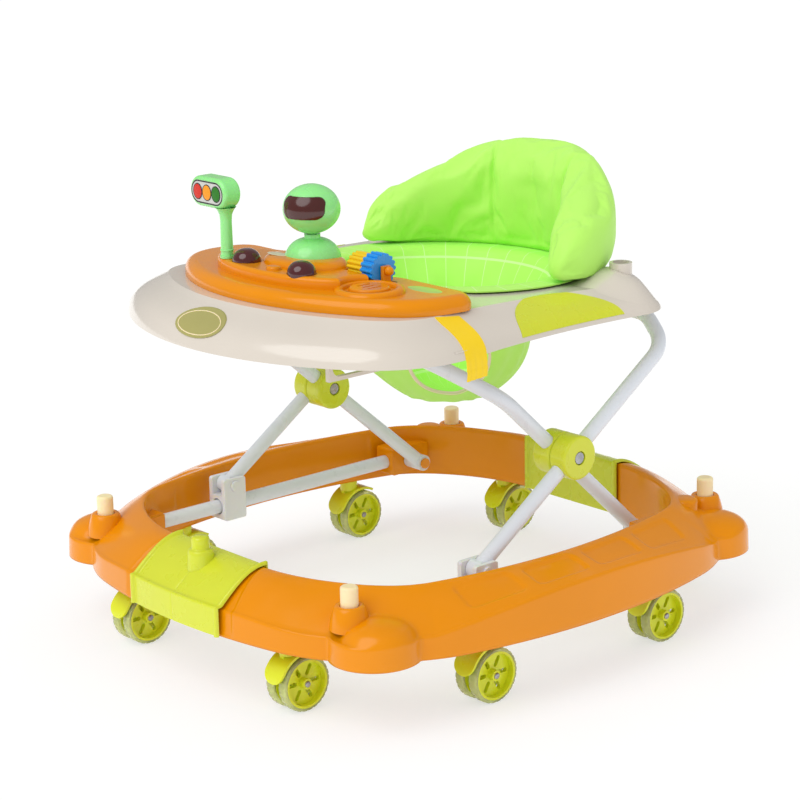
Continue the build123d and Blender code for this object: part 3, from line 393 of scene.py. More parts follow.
def rounded(bm, passes, factor=0.5):
    inside = [v for v in bm.verts if not v.is_boundary]
    for _ in range(passes):
        bmesh.ops.smooth_vert(bm, verts=inside, factor=factor, use_axis_x=True, use_axis_y=True,
                              use_axis_z=True)


# A turned shape: outline points (radius, distance along the axis) in millimetres, spun about the axis
def spunShape(bm, outline, centre, axis=(0, 0, 1), steps=48, closed=False):
    axis, centre = Vector(axis), Vector(centre)
    side = axis.orthogonal().normalized()
    made = [bm.verts.new((centre + side * radius + axis * along) * mm) for radius, along in outline]
    ends = made[1:] + made[:1] if closed else made[1:]
    edges = [bm.edges.new(pair) for pair in zip(made, ends)]
    bmesh.ops.spin(bm, geom=made + edges, cent=centre * mm, axis=axis, angle=turn, steps=steps,
                   use_merge=True)


# Base ring

ring = dict(low=77, top=141, sideOffset=416, endOffset=402, bow=740, innerBow=680, innerEnd=272,
            outerBlend=100, innerBlend=157, bumpX=238, bumpY=254, bumpRadius=50, domeX=248, domeY=257,
            domeRadius=39, domeBase=102, domeRise=20, domeBlend=5, creaseCorner=103, creaseSide=129,
            creaseEnd=108, creaseSpan=215, creaseFade=(90, 200), wall=3, bandShare=0.17, wallShare=0.8,
            ledge=4, archShare=0.93, roundSide=0.35, roundFade=(110, 210), joinStep=95, joinHalf=1.5,
            joinDrop=1.6, panel=1.8, panelTop=(0.12, 0.24), panelFoot=(0.78, 0.9), panelEnd=(150, 155))
windows = dict(middles=(-129, -43, 43, 129), halfLength=35, halfWidth=17, corner=7, depth=2.4, middle=0.5,
               edge=1.2)


def rayToArc(offset, radius, lean):
    return -offset * lean + math.sqrt((offset * lean) ** 2 + radius ** 2 - offset ** 2)


def ringReach(cosine, sine):  # distance from the middle to the bar's outer and inner edge along a ray
    c, s = abs(cosine), abs(sine)
    side = rayToArc(ring["sideOffset"], ring["bow"], c)
    end = rayToArc(ring["endOffset"], ring["bow"], s)
    innerSide = rayToArc(ring["sideOffset"], ring["innerBow"], c)
    innerEnd = ring["innerEnd"] / max(s, 0.01)
    outer = softMin(side, end, ring["outerBlend"])
    along = c * ring["bumpX"] + s * ring["bumpY"]
    left = along ** 2 - ring["bumpX"] ** 2 - ring["bumpY"] ** 2 + ring["bumpRadius"] ** 2
    band = max(outer, along + math.sqrt(left)) if left > 0 else outer
    return band, outer, softMin(innerSide, innerEnd, ring["innerBlend"]), side < end


def archHeight(share, roundness):
    level = min(1.0, share / ring["archShare"])
    return level * (1 - roundness) + math.sin(level * math.pi / 2) * roundness


def windowDepth(y, across):
    nearest = min(windows["middles"], key=lambda middle: abs(y - middle))
    corner = windows["corner"]
    dy = max(abs(y - nearest) - windows["halfLength"] + corner, 0)
    dx = max(abs(across) - windows["halfWidth"] + corner, 0)
    return windows["depth"] * (1 - ease(-windows["edge"], windows["edge"], math.hypot(dx, dy) - corner))


def ringPoint(across, up, sign):
    angle = (across - 0.5) * math.pi
    cosine, sine = math.cos(angle), math.sin(angle)
    band, outer, inner, onSide = ringReach(cosine, sine)
    y = sine * outer
    fold = max(0.0, 1 - (y / ring["creaseSpan"]) ** 2) if onSide else 0.0
    crease = ring["creaseCorner"] + (ring["creaseSide"] - ring["creaseCorner"]) * fold
    if not onSide:
        fade = 1 - ease(*ring["creaseFade"], cosine * outer)
        crease += (ring["creaseEnd"] - ring["creaseCorner"]) * fade
    if up <= ring["bandShare"]:
        share = up / ring["bandShare"]
        reach, z = band - share, ring["low"] + (crease - ring["low"]) * share
    elif up <= ring["wallShare"]:
        share = (up - ring["bandShare"]) / (ring["wallShare"] - ring["bandShare"])
        reach = band - 1 + (inner - band + 1) * share
        edge = outer - ring["ledge"]
        slope = min(1.0, max(0.0, (edge - reach) / (edge - inner)))
        roundness = ring["roundSide"]
        if not onSide:
            roundness += (1 - roundness) * (1 - ease(*ring["roundFade"], cosine * outer))
        z = crease + (ring["top"] - crease) * archHeight(slope, roundness)
        x, y = cosine * reach, abs(sine) * reach
        spread = ((x - ring["domeX"]) ** 2 + (y - ring["domeY"]) ** 2) / ring["domeRadius"] ** 2
        if spread < 1:
            z = softMax(z, ring["domeBase"] + ring["domeRise"] * math.sqrt(1 - spread), ring["domeBlend"])
        if onSide:
            z -= windowDepth(sine * reach, (slope - windows["middle"]) * (outer - inner))
    else:
        share = (up - ring["wallShare"]) / (1 - ring["wallShare"])
        sunk = ease(*ring["panelTop"], share) * (1 - ease(*ring["panelFoot"], share))
        sunk *= 1 - ease(*ring["panelEnd"], abs(sine * inner))
        reach = inner + (ring["panel"] * sunk if onSide else 0)
        z = ring["top"] - (ring["top"] - ring["low"]) * share
    join = 1 - ease(ring["joinStep"] - ring["joinHalf"], ring["joinStep"] + ring["joinHalf"], cosine * outer)
    join *= ring["joinDrop"]
    if not onSide and z > ring["low"] + 1:
        z -= join * (1 if up > ring["bandShare"] else share)
        reach -= join if up < ring["wallShare"] else -join
    return Vector((sign * cosine * reach, sine * reach, z)) * mm


for sign, side in ((1, "left"), (-1, "right")):
    bm = shapedGrid(560, 66, lambda across, up, sign=sign: ringPoint(across, up, sign))
    rounded(bm, 3)
    bmesh.ops.recalc_face_normals(bm, faces=bm.faces)
    shell = makePiece(f"baseShell.{side}", bm, orangeMould, "base", "ring_plastic", f"base_{side}_half",
                      sharp=60)
    wall = shell.modifiers.new("wall", "SOLIDIFY")
    wall.thickness = ring["wall"] * mm
    wall.offset = -1
print("walker: base shells")

# Collars round the pegs, on the ring's roof

collar = dict(x=220, y=272, outline=((22, 108), (20.6, 118), (18, 127), (16.4, 131.6), (15, 133.4),
                                     (12.4, 133.8), (10.4, 133), (10, 131), (10, 118)))
bm = bmesh.new()
for signX in (1, -1):
    for signY in (1, -1):
        spunShape(bm, collar["outline"], (signX * collar["x"], signY * collar["y"], 0))
closeUp(bm)
makePiece("pegCollars", bm, orangeMould, "base", "ring_plastic")

# Rail sockets at the front and pivot pillars at the rear, inside the ring

boss = dict(x=222, socketY=-219, socketZ=104, socketSize=(30, 46, 30), bevel=2.5, pillarY=234,
            pillar=((16, 80), (16, 134), (14.5, 137), (11, 138), (0, 138)))
bm = bmesh.new()
for sign in (1, -1):
    spunShape(bm, boss["pillar"], (sign * boss["x"], boss["pillarY"], 0))
    place = Matrix.Translation(Vector((sign * boss["x"], boss["socketY"], boss["socketZ"])) * mm)
    size = Matrix.Diagonal((*boss["socketSize"], 1))
    made = bmesh.ops.create_cube(bm, size=mm, matrix=place @ size)["verts"]
    edges = list({edge for v in made for edge in v.link_edges})
    bmesh.ops.bevel(bm, geom=edges, offset=boss["bevel"] * mm, segments=3, affect="EDGES")
closeUp(bm)
makePiece("railBosses", bm, orangeMould, "base", "ring_plastic")

# Couplers over the ring's seams

sleeve = dict(half=79.5, proud=2.8, bead=3.4, beadMiddle=76, beadHalf=3.3, seam=0.9, seamHalf=0.9, ledge=5,
              wall=2.2)
stud = dict(y=-298, outline=((16.5, 126), (15.2, 134), (14.6, 143), (14, 147), (12.8, 148.4), (10.6, 148.6),
                             (10, 149.6), (10, 159), (9.4, 161.8), (7.6, 163), (0, 163)))


def sleevePoint(across, up, sign):
    x = (across * 2 - 1) * sleeve["half"]
    bulge = 1 - ((abs(x) - sleeve["beadMiddle"]) / sleeve["beadHalf"]) ** 2
    proud = sleeve["proud"] + sleeve["bead"] * math.sqrt(max(0.0, bulge))
    proud -= sleeve["seam"] * math.exp(-(x / sleeve["seamHalf"]) ** 2)
    outer = math.sqrt(ring["bow"] ** 2 - x * x) - ring["endOffset"] + proud
    inner = ring["innerEnd"] - proud
    crease, top = ring["creaseEnd"] + proud * 0.5, ring["top"] + proud - ring["joinDrop"]
    if up <= ring["bandShare"]:
        reach, z = outer, ring["low"] + (crease - ring["low"]) * up / ring["bandShare"]
    elif up <= ring["wallShare"]:
        share = (up - ring["bandShare"]) / (ring["wallShare"] - ring["bandShare"])
        reach = outer + (inner - outer) * share
        edge = outer - sleeve["ledge"]
        slope = min(1.0, max(0.0, (edge - reach) / (edge - inner)))
        z = crease + (top - crease) * archHeight(slope, 1.0)
    else:
        share = (up - ring["wallShare"]) / (1 - ring["wallShare"])
        reach, z = inner, top - (top - ring["low"]) * share
    return Vector((x, sign * reach, z)) * mm


for sign, end in ((-1, "front"), (1, "rear")):
    bm = shapedGrid(212, 84, lambda across, up, sign=sign: sleevePoint(across, up, sign))
    rounded(bm, 2)
    bmesh.ops.recalc_face_normals(bm, faces=bm.faces)
    bmesh.ops.solidify(bm, geom=bm.faces[:], thickness=sleeve["wall"] * mm)
    if sign < 0:
        spunShape(bm, stud["outline"], (0, stud["y"], 0))
        closeUp(bm)
    makePiece(f"{end}Sleeve", bm, limeMould, "base", "lime_plastic", f"{end}_coupler", sharp=55)
print("walker: collars and sleeves")

# Twin tyres with a shallow tread, and a plated bolt on each wheel's face

casters = dict(frontLeft=(142, -292), frontRight=(-142, -292), sideFrontLeft=(264, -132),
               sideFrontRight=(-264, -132), sideRearLeft=(264, 132), sideRearRight=(-264, 132),
               rearLeft=(142, 292), rearRight=(-142, 292))
tyre = dict(radius=30.9, core=27.05, width=12.4, start=4.05, trail=10.5, axle=31, round=2.2, roundShare=0.35,
            segments=26, steps=4, groove=0.7)
bolt = dict(outline=((0, 17.9), (2.6, 17.9), (3.4, 17.4), (3.6, 16.6), (3.6, 15.5)), sides=24)


def snake(name):  # the part's own name of a caster spot
    return "".join("_" + letter.lower() if letter.isupper() else letter for letter in name)


def addTyres(spot, x, y):
    axle = Vector((x, y + tyre["trail"], tyre["axle"]))
    steps = tyre["segments"] * tyre["steps"]
    near, far, edge, rim = tyre["start"], tyre["start"] + tyre["width"], tyre["round"], tyre["radius"]
    part = edge * tyre["roundShare"]
    outline = ((tyre["core"], near), (rim - edge, near), (rim - part, near + part), (rim, near + edge),
               (rim, far - edge), (rim - part, far - part), (rim - edge, far), (tyre["core"], far))
    bm = bmesh.new()
    for sign in (1, -1):
        spunShape(bm, outline, axle, (sign, 0, 0), steps, closed=True)
    for v in bm.verts:  # one ring of points in every few sinks to make a groove
        arm = v.co / mm - axle
        arm.x = 0
        index = round(math.atan2(arm.y, arm.z) / turn * steps) % tyre["steps"]
        if index == 0 and arm.length > rim - edge:
            v.co -= arm.normalized() * tyre["groove"] * mm
    closeUp(bm)
    body = f"{snake(spot)}_wheel"
    makePiece(f"{spot}Tyres", bm, tyreClear, body, "tyre_rubber", f"{snake(spot)}_caster_tyres", sharp=40)
    bm = bmesh.new()
    for sign in (1, -1):
        spunShape(bm, bolt["outline"], axle, (sign, 0, 0), bolt["sides"])
    closeUp(bm)
    makePiece(f"{spot}Bolts", bm, boltSteel, body, "bolt_steel")


for spot, (x, y) in casters.items():
    addTyres(spot, x, y)
print("walker: tyres")

# Padded back

back = dict(middleY=72, radius=163, sweep=86, thickness=48, tipThickness=42, tipPower=14, tipFade=2.2,
            height=135, tipHeight=42, power=0.72, roundOut=0.8, roundUp=0.75, sink=2, seams=(-0.29, 0.29),
            seamDepth=4.5, seamHalf=0.016, acrossCount=150, roundCount=64, lean=3, leanFrom=0.4, weld=0.3)
sewing = dict(seamHalf=0.009, seamReach=14, foot=9, frames=18, cap=11)
stuffing = dict(quality=5, mass=0.15, tension_stiffness=25, compression_stiffness=25, shear_stiffness=8,
                bending_stiffness=0.08, air_damping=2, vertex_group_mass="sewn", use_pressure=True,
                uniform_pressure_force=3.2, shrink_min=-0.035)
plate = dict(high=417, fall=0.045, frontY=-239, tier=29)


def plateHeight(y):  # top of the tray's plate
    return plate["high"] - plate["fall"] * (y - plate["frontY"])


def power(value, exponent):
    return math.copysign(abs(value) ** exponent, value)


def backPoint(across, round_):
    share = across * 2 - 1
    angle = math.radians(90 - share * back["sweep"])
    tip = math.sqrt(max(0.0, 1 - abs(share) ** back["tipPower"]))
    rise = math.cos(share * math.pi / 2) ** back["power"] if abs(share) < 1 else 0.0
    height = back["tipHeight"] + (back["height"] - back["tipHeight"]) * rise
    fade = min(1.0, back["tipFade"] * (1 - abs(share)))
    thick = back["tipThickness"] + (back["thickness"] - back["tipThickness"]) * fade
    bend = round_ * turn
    seam = max(math.exp(-((share - middle) / back["seamHalf"]) ** 2) for middle in back["seams"])
    out = power(math.cos(bend), back["roundOut"]) * thick / 2 * tip
    out += seam * back["seamDepth"] * max(0.0, -math.cos(bend))
    lift = 0.5 + power(math.sin(bend), back["roundUp"]) / 2 * tip
    reach = back["radius"] + out + back["lean"] * (lift - back["leanFrom"]) * rise
    foot = Vector((math.cos(angle), math.sin(angle), 0))
    spot = Vector((0, back["middleY"], 0)) + foot * reach
    low = plateHeight(spot.y) + back["sink"]
    return Vector((spot.x, spot.y, low + height * lift)) * mm


def stuffed(piece, held):  # blows the piece up as sewn cloth, held where it's sewn, and keeps the result
    before = [v.co.copy() for v in piece.data.vertices]
    group = piece.vertex_groups.new(name="sewn")
    group.add(held, 1.0, "REPLACE")
    cloth = piece.modifiers.new("stuffing", "CLOTH")
    for setting, value in stuffing.items():
        setattr(cloth.settings, setting, value)
    cloth.settings.effector_weights.gravity = 0
    cloth.collision_settings.use_collision = False
    for step in range(1, sewing["frames"] + 1):
        scene.frame_set(step)
    view = piece.evaluated_get(bpy.context.evaluated_depsgraph_get())
    after = [v.co.copy() for v in view.data.vertices]
    piece.modifiers.remove(cloth)
    scene.frame_set(1)
    for v, old, new in zip(piece.data.vertices, before, after):
        move = new - old
        if move.length > sewing["cap"] * mm:
            move = move.normalized() * sewing["cap"] * mm
        v.co = old + move
    piece.vertex_groups.clear()


def makeBack():
    bm = shapedGrid(back["acrossCount"], back["roundCount"], backPoint)
    closeUp(bm, back["weld"] * mm)
    piece = makePiece("seatBack", bm, seatGreen, "tray", "seat_cloth", "seat_back", sharp=180)
    held = []
    for v in piece.data.vertices:
        arm = Vector((v.co.x, v.co.y - back["middleY"] * mm))
        share = (90 - math.degrees(math.atan2(arm.y, arm.x))) / back["sweep"]
        onSeam = min(abs(share - seam) for seam in back["seams"]) < sewing["seamHalf"]
        inside = arm.length < (back["radius"] + sewing["seamReach"]) * mm
        low = v.co.z < (plateHeight(v.co.y / mm) + sewing["foot"]) * mm
        if low or (onSeam and inside):
            held.append(v.index)
    stuffed(piece, held)
    softer = piece.modifiers.new("softer", "SUBSURF")
    softer.levels = 1
    softer.render_levels = 1


makeBack()
print("walker: padded back")

# Cloth seat below the tray

sling = dict(y=68, radius=126.6, low=257, rimLift=0.5, footShare=0.4, bellyPower=3.0, bottomShare=0.12,
             rimShare=0.88, rearSlope=22, rearFade=(-0.1, 0.6), rearPower=1.6, wall=1.6, acrossCount=224,
             upCount=80, pipe=2.1)
folds = dict(count=14, depth=3.4, fade=(0.55, 0.95), sway=1.3, swayCount=3)
skirt = dict(rear=36, front=3, fade=(-0.8, -0.5), lift=3.2, liftEnd=0.2)
leg = dict(half=46, tall=50, z=322, turn=49, near=10.0, far=150.0, tries=24, cut=200, cutSides=96)


# Distance of the cloth from the seat's axis, where share is 0 at the bottom and 1 at the rim
def slingReach(angle, share):
    body = 1 - (1 - share) ** sling["bellyPower"]
    reach = sling["radius"] * (sling["footShare"] + (1 - sling["footShare"]) * body)
    slope = math.sin(math.pi * share ** sling["rearPower"])
    reach -= sling["rearSlope"] * ease(*sling["rearFade"], math.sin(angle)) * slope
    depth = folds["depth"] * (1 - ease(*folds["fade"], share))
    wave = math.cos(folds["count"] * angle + folds["sway"] * math.sin(folds["swayCount"] * angle))
    return reach - depth * (0.5 + 0.5 * wave)


def slingRim(angle):
    return plateHeight(sling["y"] + sling["radius"] * math.sin(angle)) + sling["rimLift"]


def slingPoint(across, up):
    angle = across * turn
    if up <= sling["bottomShare"]:
        share = up / sling["bottomShare"]
        reach, z = slingReach(angle, 0) * share, sling["low"] - 1 + share * share
    elif up <= sling["rimShare"]:
        share = (up - sling["bottomShare"]) / (sling["rimShare"] - sling["bottomShare"])
        reach, z = slingReach(angle, share), sling["low"] + (slingRim(angle) - sling["low"]) * share
    else:  # the cloth laps over the plate to the back's foot, and less in front
        share = (up - sling["rimShare"]) / (1 - sling["rimShare"])
        lap = skirt["front"] + (skirt["rear"] - skirt["front"]) * ease(*skirt["fade"], math.sin(angle))
        reach = sling["radius"] + lap * share
        lift = skirt["lift"] * ease(0, skirt["liftEnd"], share) + sling["rimLift"]
        z = plateHeight(sling["y"] + reach * math.sin(angle)) + lift
    return Vector((reach * math.cos(angle), sling["y"] + reach * math.sin(angle), z)) * mm


def legFrame(sign):  # middle, way out, sideways direction of a leg hole
    angle = math.radians(leg["turn"]) * sign
    way = Vector((math.sin(angle), -math.cos(angle), 0))
    return Vector((0, sling["y"], leg["z"])), way, Vector((-way.y, way.x, 0))


def legEdge(sign, count=72):  # the hole's edge on the cloth, by halving the distance along its way out
    middle, way, sideways = legFrame(sign)
    points = []
    for step in range(count):
        bend = step / count * turn
        start = middle + sideways * math.cos(bend) * leg["half"]
        start.z += math.sin(bend) * leg["tall"]
        near, far = leg["near"], leg["far"]
        for _ in range(leg["tries"]):
            half = (near + far) / 2
            spot = start + way * half
            arm = spot - Vector((0, sling["y"], spot.z))
            angle = math.atan2(arm.y, arm.x)
            share = (spot.z - sling["low"]) / (slingRim(angle) - sling["low"])
            if arm.length < slingReach(angle, min(1.0, max(0.0, share))):
                near = half
            else:
                far = half
        points.append(spot * mm)
    return points


def pipedEdge(name, points, radius, finish, body, slotName):
    curve = bpy.data.curves.new(name, "CURVE")
    curve.dimensions = "3D"
    curve.bevel_depth = radius * mm
    curve.bevel_resolution = 3
    line = curve.splines.new("POLY")
    line.points.add(len(points) - 1)
    for spot, point in zip(line.points, points):
        spot.co = (*point, 1)
    line.use_cyclic_u = True
    holder = bpy.data.objects.new(name, curve)
    scene.collection.objects.link(holder)
    mesh = bpy.data.meshes.new_from_object(holder.evaluated_get(bpy.context.evaluated_depsgraph_get()))
    bpy.data.objects.remove(holder)
    bm = bmesh.new()
    bm.from_mesh(mesh)
    closeUp(bm)
    bpy.data.meshes.remove(mesh)
    return makePiece(name, bm, finish, body, slotName, sharp=180)


def makeSling():
    bm = shapedGrid(sling["acrossCount"], sling["upCount"], slingPoint)
    closeUp(bm)
    bmesh.ops.solidify(bm, geom=bm.faces[:], thickness=sling["wall"] * mm)
    bmesh.ops.recalc_face_normals(bm, faces=bm.faces)
    for face in bm.faces:
        spot = face.calc_center_median()
        arm = Vector((spot.x, spot.y - sling["y"] * mm, 0))
        face.material_index = 1 if face.normal.dot(arm) < 0 or face.normal.z > 0.5 else 0
    piece = makePiece("seatSling", bm, seatGreen, "tray", "seat_cloth", "seat_sling", sharp=70)
    piece.data.materials.append(liningGreen)
    for sign in (1, -1):
        middle, way, sideways = legFrame(sign)
        cutter = bmesh.new()
        bmesh.ops.create_cone(cutter, cap_ends=True, segments=leg["cutSides"], radius1=1, radius2=1, depth=1)
        size = Matrix((sideways * leg["half"], Vector((0, 0, leg["tall"])), way * leg["cut"])).transposed() * mm
        place = Matrix.Translation((middle + way * leg["cut"] / 2) * mm)
        bmesh.ops.transform(cutter, verts=cutter.verts, matrix=place @ size.to_4x4())
        bmesh.ops.recalc_face_normals(cutter, faces=cutter.faces)
        shape = bpy.data.meshes.new("legCutter")
        cutter.to_mesh(shape)
        cutter.free()
        holder = bpy.data.objects.new("legCutter", shape)
        scene.collection.objects.link(holder)
        cut = piece.modifiers.new("legHole", "BOOLEAN")
        cut.operation = "DIFFERENCE"
        cut.solver = "EXACT"
        cut.object = holder
        bpy.context.view_layer.update()
        result = bpy.data.meshes.new_from_object(piece.evaluated_get(bpy.context.evaluated_depsgraph_get()))
        piece.modifiers.remove(cut)
        piece.data = result
        bpy.data.objects.remove(holder)
    pipes = [pipedEdge(f"legPiping.{side}", legEdge(sign), sling["pipe"], pipingCream, "tray", "seat_cloth")
             for sign, side in ((1, "left"), (-1, "right"))]


makeSling()
print("walker: cloth seat")

# Finding the surface of a node


def surfaceOf(name):
    bm = bmesh.new()
    bm.from_mesh(nodes[name].data)
    tree = BVHTree.FromBMesh(bm)
    bm.free()
    return tree


def dropOn(tree, x, y):  # the highest point of a surface below a spot, or None
    return tree.ray_cast(Vector((x, y, 600)) * mm, Vector((0, 0, -1)))[0]


trayTop = surfaceOf("tray_shell")

# Webbing strap over the tray's left side

strap = dict(y=-115, half=17, startX=203, stepX=1.5, edge=375.5, lift=0.9, wall=1.1, foldLength=11,
             foldEdge=0.8, foldRise=0.9, acrossCount=16, count=60,
             hang=((372, 1.9), (366, 2.4), (358, 2), (351, 1)))


def strapPath(y):
    path = []
    x = strap["startX"]
    hit = dropOn(trayTop, x, y)
    while hit and hit.z > strap["edge"] * mm:
        path.append(Vector((x, y, hit.z / mm)))
        x += strap["stepX"]
        hit = dropOn(trayTop, x, y)
    return path + [Vector((path[-1].x + out, y, z)) for z, out in strap["hang"]]


def makeStrap():
    paths = {}

    def strapPoint(across, up):
        row = round(across, 4)
        if row not in paths:
            path = strapPath(strap["y"] + (across * 2 - 1) * strap["half"])
            lengths = [0.0]
            for first, last in zip(path, path[1:]):
                lengths.append(lengths[-1] + (last - first).length)
            paths[row] = path, lengths
        path, lengths = paths[row]
        target = min(up, 0.9999) * lengths[-1]
        index = max(i for i in range(len(path) - 1) if lengths[i] <= target)
        part = (target - lengths[index]) / (lengths[index + 1] - lengths[index])
        way = (path[index + 1] - path[index]).normalized()
        foldStart = lengths[-1] - strap["foldLength"]
        fold = ease(foldStart, foldStart + strap["foldEdge"], target)
        outward = Vector((-way.z, 0, way.x)) * (strap["lift"] + fold * strap["foldRise"])
        return (path[index].lerp(path[index + 1], part) + outward) * mm

    bm = shapedGrid(strap["acrossCount"], strap["count"], strapPoint)
    rounded(bm, 2)
    bmesh.ops.recalc_face_normals(bm, faces=bm.faces)
    bmesh.ops.solidify(bm, geom=bm.faces[:], thickness=strap["wall"] * mm)
    piece = makePiece("trayStrap", bm, strapYellow, "tray", "strap_webbing", "tray_strap", sharp=50)


makeStrap()
print("walker: strap")

# Lamps and border on the signal's plate

signal = dict(x=-92, y=-202, z=516.5, halfStraight=15.5, halfHeight=12.8, proud=0.15, border=1.5,
              borderWall=0.5, pitch=16.4, postX=-75, postY=-190)
lamp = dict(half=8, tall=9, rise=1.1, inset=0.4, proud=0.2, edge=0.55, edgeCount=48)
signalPost = ((5.4, 445), (6.9, 445), (6.9, 452), (7.5, 452.5), (7.5, 454), (6.9, 454.6), (6.5, 486),
              (7.2, 493), (9.4, 498), (12, 501))


def roundEnded(bm, halfStraight, radius, y):  # a flat stadium facing the front
    made = bmesh.ops.create_circle(bm, cap_ends=True, segments=48, radius=radius * mm)["verts"]
    for v in made:
        v.co.x += math.copysign(halfStraight * mm, v.co.x)
    place = Matrix.Translation(Vector((signal["x"], y, signal["z"])) * mm)
    bmesh.ops.transform(bm, verts=made, matrix=place @ Matrix.Rotation(math.pi / 2, 4, "X"))


def makeSignal():
    bm = bmesh.new()
    roundEnded(bm, signal["halfStraight"], signal["halfHeight"], signal["y"] - signal["proud"])
    border = bmesh.ops.inset_region(bm, faces=bm.faces[:], thickness=signal["border"] * mm, use_boundary=True,
                                    use_even_offset=True)["faces"]
    bmesh.ops.delete(bm, geom=[face for face in bm.faces if face not in border], context="FACES")
    bmesh.ops.recalc_face_normals(bm, faces=bm.faces)
    bmesh.ops.solidify(bm, geom=bm.faces[:], thickness=signal["borderWall"] * mm)
    closeUp(bm)
    makePiece("signalBorder", bm, moduleBlack, "signal", "signal_plate", sharp=30)
    for step, (colour, finish) in enumerate((("red", lampRed), ("amber", lampAmber), ("green", lampGreen))):
        bm = bmesh.new()
        middle = Vector((signal["x"] + (step - 1) * signal["pitch"], signal["y"], signal["z"]))
        size = Matrix.Diagonal((lamp["half"] * mm, lamp["rise"] * mm, lamp["tall"] * mm, 1))
        bmesh.ops.create_uvsphere(bm, u_segments=40, v_segments=20, radius=1,
                                  matrix=Matrix.Translation(middle * mm) @ size)
        makePiece(f"signalLamp.{colour}", bm, finish, "signal", "signal_plate", sharp=60)
        half, tall = lamp["half"] - lamp["inset"], lamp["tall"] - lamp["inset"]
        bends = [part / lamp["edgeCount"] * turn for part in range(lamp["edgeCount"])]
        edge = [(middle + Vector((half * math.cos(bend), -lamp["proud"], tall * math.sin(bend)))) * mm
                for bend in bends]
        pipedEdge(f"lampEdge.{colour}", edge, lamp["edge"], moduleBlack, "signal", "signal_plate")
    bm = bmesh.new()
    spunShape(bm, signalPost, (signal["postX"], signal["postY"], 0))
    closeUp(bm)
    makePiece("signalSleeve", bm, toyGreen, "signal", "toy_green", sharp=40)


makeSignal()
print("walker: signal")

# Raised rear corners of the tray round the handle sockets

mound = dict(x=180, y=171, inner=13.2, outer=66, rise=15, sink=0.4, edge=1.5)


def moundSpot(sign, angle, reach):
    return sign * mound["x"] + reach * math.cos(angle), mound["y"] + reach * math.sin(angle)


def moundReach(sign, angle):  # how far the mound runs along a ray before the tray's edge
    reach = mound["outer"]
    while not dropOn(trayTop, *moundSpot(sign, angle, reach)):
        reach -= 1
    return reach - mound["edge"]


def makeMounds():
    for sign, side in ((1, "left"), (-1, "right")):

        def moundPoint(across, up):
            angle = across * turn
            reach = mound["inner"] + (moundReach(sign, angle) - mound["inner"]) * up
            lift = mound["rise"] * (1 - up * up) ** 2 - mound["sink"]
            return dropOn(trayTop, *moundSpot(sign, angle, reach)) + Vector((0, 0, lift * mm))

        bm = shapedGrid(72, 20, moundPoint)
        closeUp(bm)
        rounded(bm, 2)
        bmesh.ops.recalc_face_normals(bm, faces=bm.faces)
        makePiece(f"trayMound.{side}", bm, trayBeige, "tray", "tray_plastic", sharp=180)


makeMounds()
print("walker: mounds")

# Bead round the tray's rim, border on the badge, trim on the toy panel

rim = dict(height=383, bead=0.9)
badge = dict(middleZ=399, halfWidth=34, halfHeight=10, line=0.6, count=72, rayY=-400)
trim = dict(padX=122, padY=-152, knobX=-40, knobY=-118, knobRadius=7.5, cap=(108.5, -112, 444), capRadius=5,
            pad=((28.2, 426), (28.2, 434), (29.2, 435.2), (34, 435.4), (37, 434), (38.6, 431), (39, 426)))


def makeBead():
    bm = bmesh.new()
    bm.from_mesh(nodes["tray_shell"].data)
    whole = bm.verts[:] + bm.edges[:] + bm.faces[:]
    cut = bmesh.ops.bisect_plane(bm, geom=whole, plane_co=(0, 0, rim["height"] * mm),
                                 plane_no=(0, 0, 1))["geom_cut"]
    lines = {item for item in cut if isinstance(item, bmesh.types.BMEdge)}
    spot = max((v for line in lines for v in line.verts), key=lambda v: v.co.x)
    points = []
    while spot:
        points.append(spot.co.copy())
        line = next((line for line in spot.link_edges if line in lines), None)
        lines.discard(line)
        spot = line.other_vert(spot) if line else None
    bm.free()
    pipedEdge("trayBead", points[:-1], rim["bead"], trayBeige, "tray", "tray_plastic")


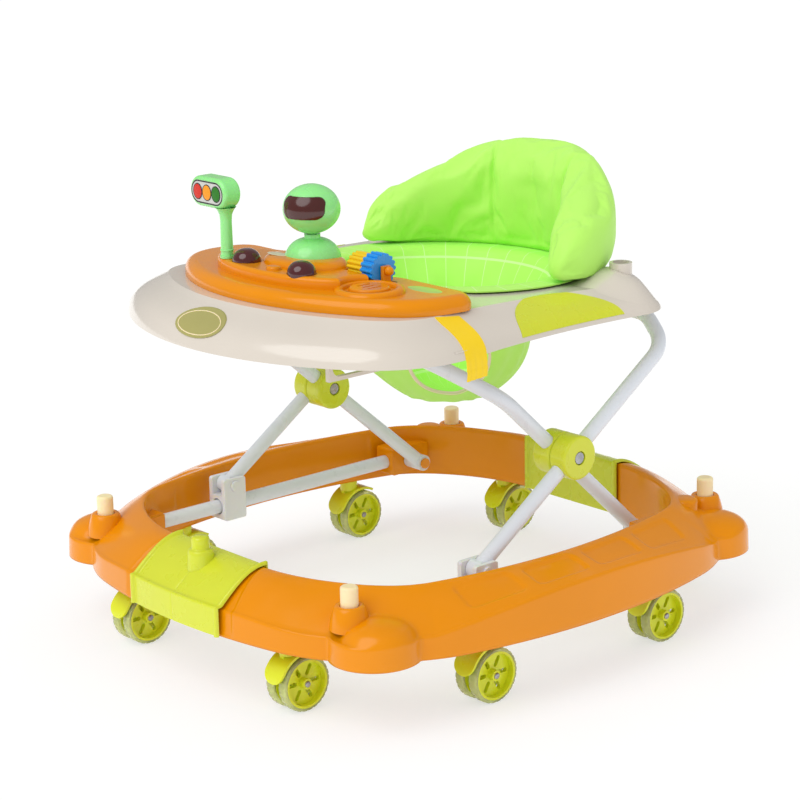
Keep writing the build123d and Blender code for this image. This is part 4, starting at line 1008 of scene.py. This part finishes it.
def makeBadgeBorder():
    tree = surfaceOf("tray_badge")
    points = []
    for step in range(badge["count"]):
        bend = step / badge["count"] * turn
        x, z = badge["halfWidth"] * math.cos(bend), badge["middleZ"] + badge["halfHeight"] * math.sin(bend)
        points.append(tree.ray_cast(Vector((x, badge["rayY"], z)) * mm, Vector((0, 1, 0)))[0])
    pipedEdge("badgeBorder", points, badge["line"], pegCream, "tray", "badge_plate")


def makeTrim():
    bm = bmesh.new()
    spunShape(bm, trim["pad"], (trim["padX"], trim["padY"], 0), steps=64)
    knob = (trim["knobX"], trim["knobY"], plateHeight(trim["knobY"]) + plate["tier"])
    for place, radius in ((knob, trim["knobRadius"]), (trim["cap"], trim["capRadius"])):
        bmesh.ops.create_uvsphere(bm, u_segments=32, v_segments=20, radius=radius * mm,
                                  matrix=Matrix.Translation(Vector(place) * mm))
    closeUp(bm)
    makePiece("panelTrim", bm, orangeMould, "tray", "ring_plastic", sharp=60)


makeBead()
makeBadgeBorder()
makeTrim()
print("walker: trim")

# Raised stand under the figure, a small bead before it and two bare plates on the toy panel: a pale green sign,
# and on the stand's top a sticker plate whose pale colour is a painted glint

pads = dict(stand=((0, -139), (54, 42), 8), bead=((10, -192), (9, 8), 4), power=8, sink=1.5,
            signsAndGlint=(((150, -98), (25, 12), 17), ((-27, -157), (15, 8), 37)), signAndGlintWall=0.5)


def padPoint(spot, halves, across, up):
    bend, share = across * turn, 1 - (1 - up) ** 2
    x, y = spot[0] + halves[0] * share * math.cos(bend), spot[1] + halves[1] * share * math.sin(bend)
    return Vector((x, y, plateHeight(y))), math.sqrt(max(0.0, 1 - share ** pads["power"]))


def makePads():
    for name in ("stand", "bead"):
        spot, halves, rise = pads[name]

        def risePoint(across, up):
            place, edge = padPoint(spot, halves, across, up)
            lift = plate["tier"] - pads["sink"] + (rise + pads["sink"]) * edge
            return (place + Vector((0, 0, lift))) * mm

        bm = shapedGrid(72, 18, risePoint)
        closeUp(bm)
        makePiece(f"panelPad.{name}", bm, orangeMould, "tray", "ring_plastic", sharp=180)
    # the second plate sits on the stand's top, and its pale colour is a painted glint
    for (spot, halves, height), finish, side in zip(pads["signsAndGlint"], (signGreen, paintedGlintPale), ("left", "middle")):

        def signAndGlintPoint(across, up):
            place, edge = padPoint(spot, halves, across, up)
            return (place + Vector((0, 0, height + pads["signAndGlintWall"] * edge))) * mm

        bm = shapedGrid(48, 10, signAndGlintPoint)
        closeUp(bm)
        makePiece(f"panelSignAndGlint.{side}", bm, finish, "tray", "badge_plate", sharp=60)


makePads()
print("walker: pads")
